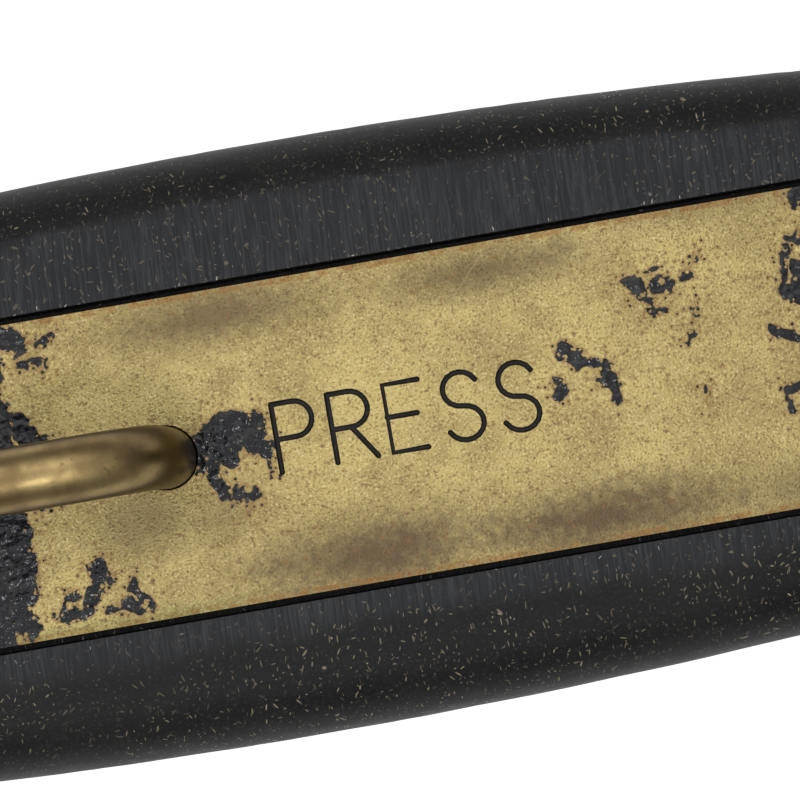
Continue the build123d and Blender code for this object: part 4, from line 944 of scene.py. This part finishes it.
# %% [markdown]
# ## Geometry: threads on the necks
# Each cap screws onto a neck of the grip, and the thread shows when the cap is lifted off. A coarse
# moulded thread is a low round ridge, so the helper that wound the spring also lays a ridge round
# each neck, sunk until only a little stands proud. The clamp ring of each capsule is centred on its
# cup, so its box and the cap's own direction of travel say where the neck is.


# %% Lay the threads
NECK_FOOT = 9.05 * MM          # from the middle of a clamp ring down to the seam
NECK_RADII = {"receiver": 24.4 * MM, "transmitter": 25.4 * MM}
RIDGE_LOW, RIDGE_HIGH = 0.9 * MM, 6.1 * MM   # where the ridge begins and ends, over the seam
RIDGE = 0.6 * MM               # thickness of the ridge
PROUD = 0.12 * MM              # how far it stands out of the neck
RIDGE_TURNS = 3


def lay_thread(side, neck_radius):
    """A ridge of three turns round one neck."""
    axis = Vector(joints[side + "_cap_lift"]["axis"])
    ring_low, ring_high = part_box(side + "_clamp_ring")
    foot = (ring_low + ring_high) / 2 - axis * NECK_FOOT
    thread = wind(side + "_thread", RIDGE_LOW, RIDGE_HIGH, neck_radius + PROUD - RIDGE / 2,
                  Vector(), RIDGE_TURNS, RIDGE, steps=90)
    turn = Vector((0.0, 0.0, 1.0)).rotation_difference(axis).to_matrix().to_4x4()
    thread.data.transform(Matrix.Translation(foot) @ turn)
    dress(thread, cap_phenolic)
    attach(thread, "handle")
    return thread


threads = [lay_thread(side, radius) for side, radius in NECK_RADII.items()]
print("threads:", [thread.name for thread in threads])

# %% [markdown]
# ## The floor
# The handset lies on a plain pale floor. To look white without flooding the handset with light,
# the floor glows, but only for the camera, a mirror-like metal or glass. The rest of its colour
# is ordinary, so the handset still throws a soft shadow on it.


# %% Floor
FLOOR_COLOUR = (0.62, 0.62, 0.62, 1.0)
FLOOR_GLOW = 0.72
FLOOR_REACH = 2.0              # metres from the middle to each side
FLOOR_DROP = 0.2 * MM          # a hair below the handset


def make_floor():
    side = FLOOR_REACH
    mesh = bpy.data.meshes.new("floor")
    mesh.from_pydata([(-side, -side, 0), (side, -side, 0), (side, side, 0), (-side, side, 0)],
                     [], [(0, 1, 2, 3)])
    floor = bpy.data.objects.new("floor", mesh)
    bpy.context.scene.collection.objects.link(floor)
    floor.location.z = -FLOOR_DROP
    material = bpy.data.materials.new("pale_floor")
    material.use_nodes = True
    tree = material.node_tree
    shader = tree.nodes["Principled BSDF"]
    shader.inputs["Base Color"].default_value = FLOOR_COLOUR
    shader.inputs["Roughness"].default_value = 0.9
    shader.inputs["Specular IOR Level"].default_value = 0.1
    shader.inputs["Emission Color"].default_value = (1.0, 1.0, 1.0, 1.0)
    seen = tree.nodes.new("ShaderNodeLightPath")
    rays = calc(tree, "MAXIMUM", seen.outputs["Is Camera Ray"], seen.outputs["Is Glossy Ray"])
    rays = calc(tree, "MAXIMUM", rays, seen.outputs["Is Transmission Ray"])
    feed(tree, shader.inputs["Emission Strength"], calc(tree, "MULTIPLY", rays, FLOOR_GLOW))
    mesh.materials.append(material)
    return floor


floor = make_floor()
print("floor:", floor.name)

# %% [markdown]
# ## Light
# One broad soft lamp above and behind the upper edge of the grip gives the rubbed face its sheen
# and leaves the lower edge darker. A weaker soft lamp on the near side, to the left, opens the
# shadows. The world adds a plain sky that is brightest overhead, so the round bar shades from
# light on top to dark at its sides. A small weak lamp, also on the near side, puts small glints on
# the paint and on the bend of the bar.


# %% World and lamps
LAMP_TARGET = Vector((0.0, 0.0, 0.02))
BRIGHT_FROM, BRIGHT_FULL = 0.62, 0.93   # heights in the sky: 0 is the horizon, 1 is overhead


def make_world(overhead, level):
    world = bpy.data.worlds.new("plain_sky")
    bpy.context.scene.world = world
    world.use_nodes = True
    tree = world.node_tree
    sky = tree.nodes["Background"]
    facing = put(tree, "TexCoord", out="Generated")
    up = part_of(tree, facing, "Z")
    strength = put(tree, "MapRange", {"Value": up, "From Min": BRIGHT_FROM,
                                      "From Max": BRIGHT_FULL, "To Min": level,
                                      "To Max": overhead},
                   interpolation_type="SMOOTHSTEP")
    sky.inputs["Color"].default_value = (1.0, 1.0, 1.0, 1.0)
    feed(tree, sky.inputs["Strength"], strength)


def add_lamp(name, place, size, power):
    lamp = bpy.data.lights.new(name, "AREA")
    lamp.shape = "RECTANGLE"
    lamp.size = size[0]
    lamp.size_y = size[1]
    lamp.energy = power
    holder = bpy.data.objects.new(name, lamp)
    bpy.context.scene.collection.objects.link(holder)
    holder.location = place
    aim = LAMP_TARGET - Vector(place)
    holder.rotation_euler = aim.to_track_quat("-Z", "Y").to_euler()


make_world(overhead=1.15, level=0.24)
add_lamp("soft_key", (0.0, 0.30, 0.50), (0.5, 0.35), 0.6)
add_lamp("soft_fill", (-0.35, -0.25, 0.45), (0.4, 0.4), 0.45)
add_lamp("small_glint", (-0.06, -0.17, 0.5), (0.06, 0.06), 0.3)
print("lamps:", [light.name for light in bpy.data.lights])

# %% [markdown]
# ## Camera
# A long lens looks down on the plate from close by. It is turned a little so that the grip climbs
# to the right, and it stands slightly towards the lower edge, so it sees the bar's near side.


# %% Camera
ROLL = -9.92                   # degrees
LEAN = 1.7                     # degrees off the vertical, towards the lower edge
VIEW_WIDTH = 38.55 * MM        # across the frame, at the plate
DISTANCE = 110 * MM
AIM_ALONG, AIM_ACROSS = 8.2 * MM, 0.8 * MM   # from the middle of the plate
plate_middle = (plate_low + plate_high) / 2
aim_point = Vector((plate_middle.x + AIM_ALONG, AIM_ACROSS, plate_high.z))
camera_data = bpy.data.cameras.new("camera")
camera_data.lens = camera_data.sensor_width * DISTANCE / VIEW_WIDTH
camera_data.clip_start = 0.01
camera = bpy.data.objects.new("camera", camera_data)
bpy.context.scene.collection.objects.link(camera)
aim = Matrix.Rotation(math.radians(ROLL), 3, "Z") @ Matrix.Rotation(math.radians(LEAN), 3, "X")
camera.location = aim_point + aim @ Vector((0, 0, DISTANCE))
camera.rotation_euler = aim.to_euler()
scene = bpy.context.scene
scene.camera = camera
scene.view_settings.view_transform = "Standard"
print("aim:", [round(v / MM, 2) for v in aim_point], "lens", round(camera_data.lens, 1))
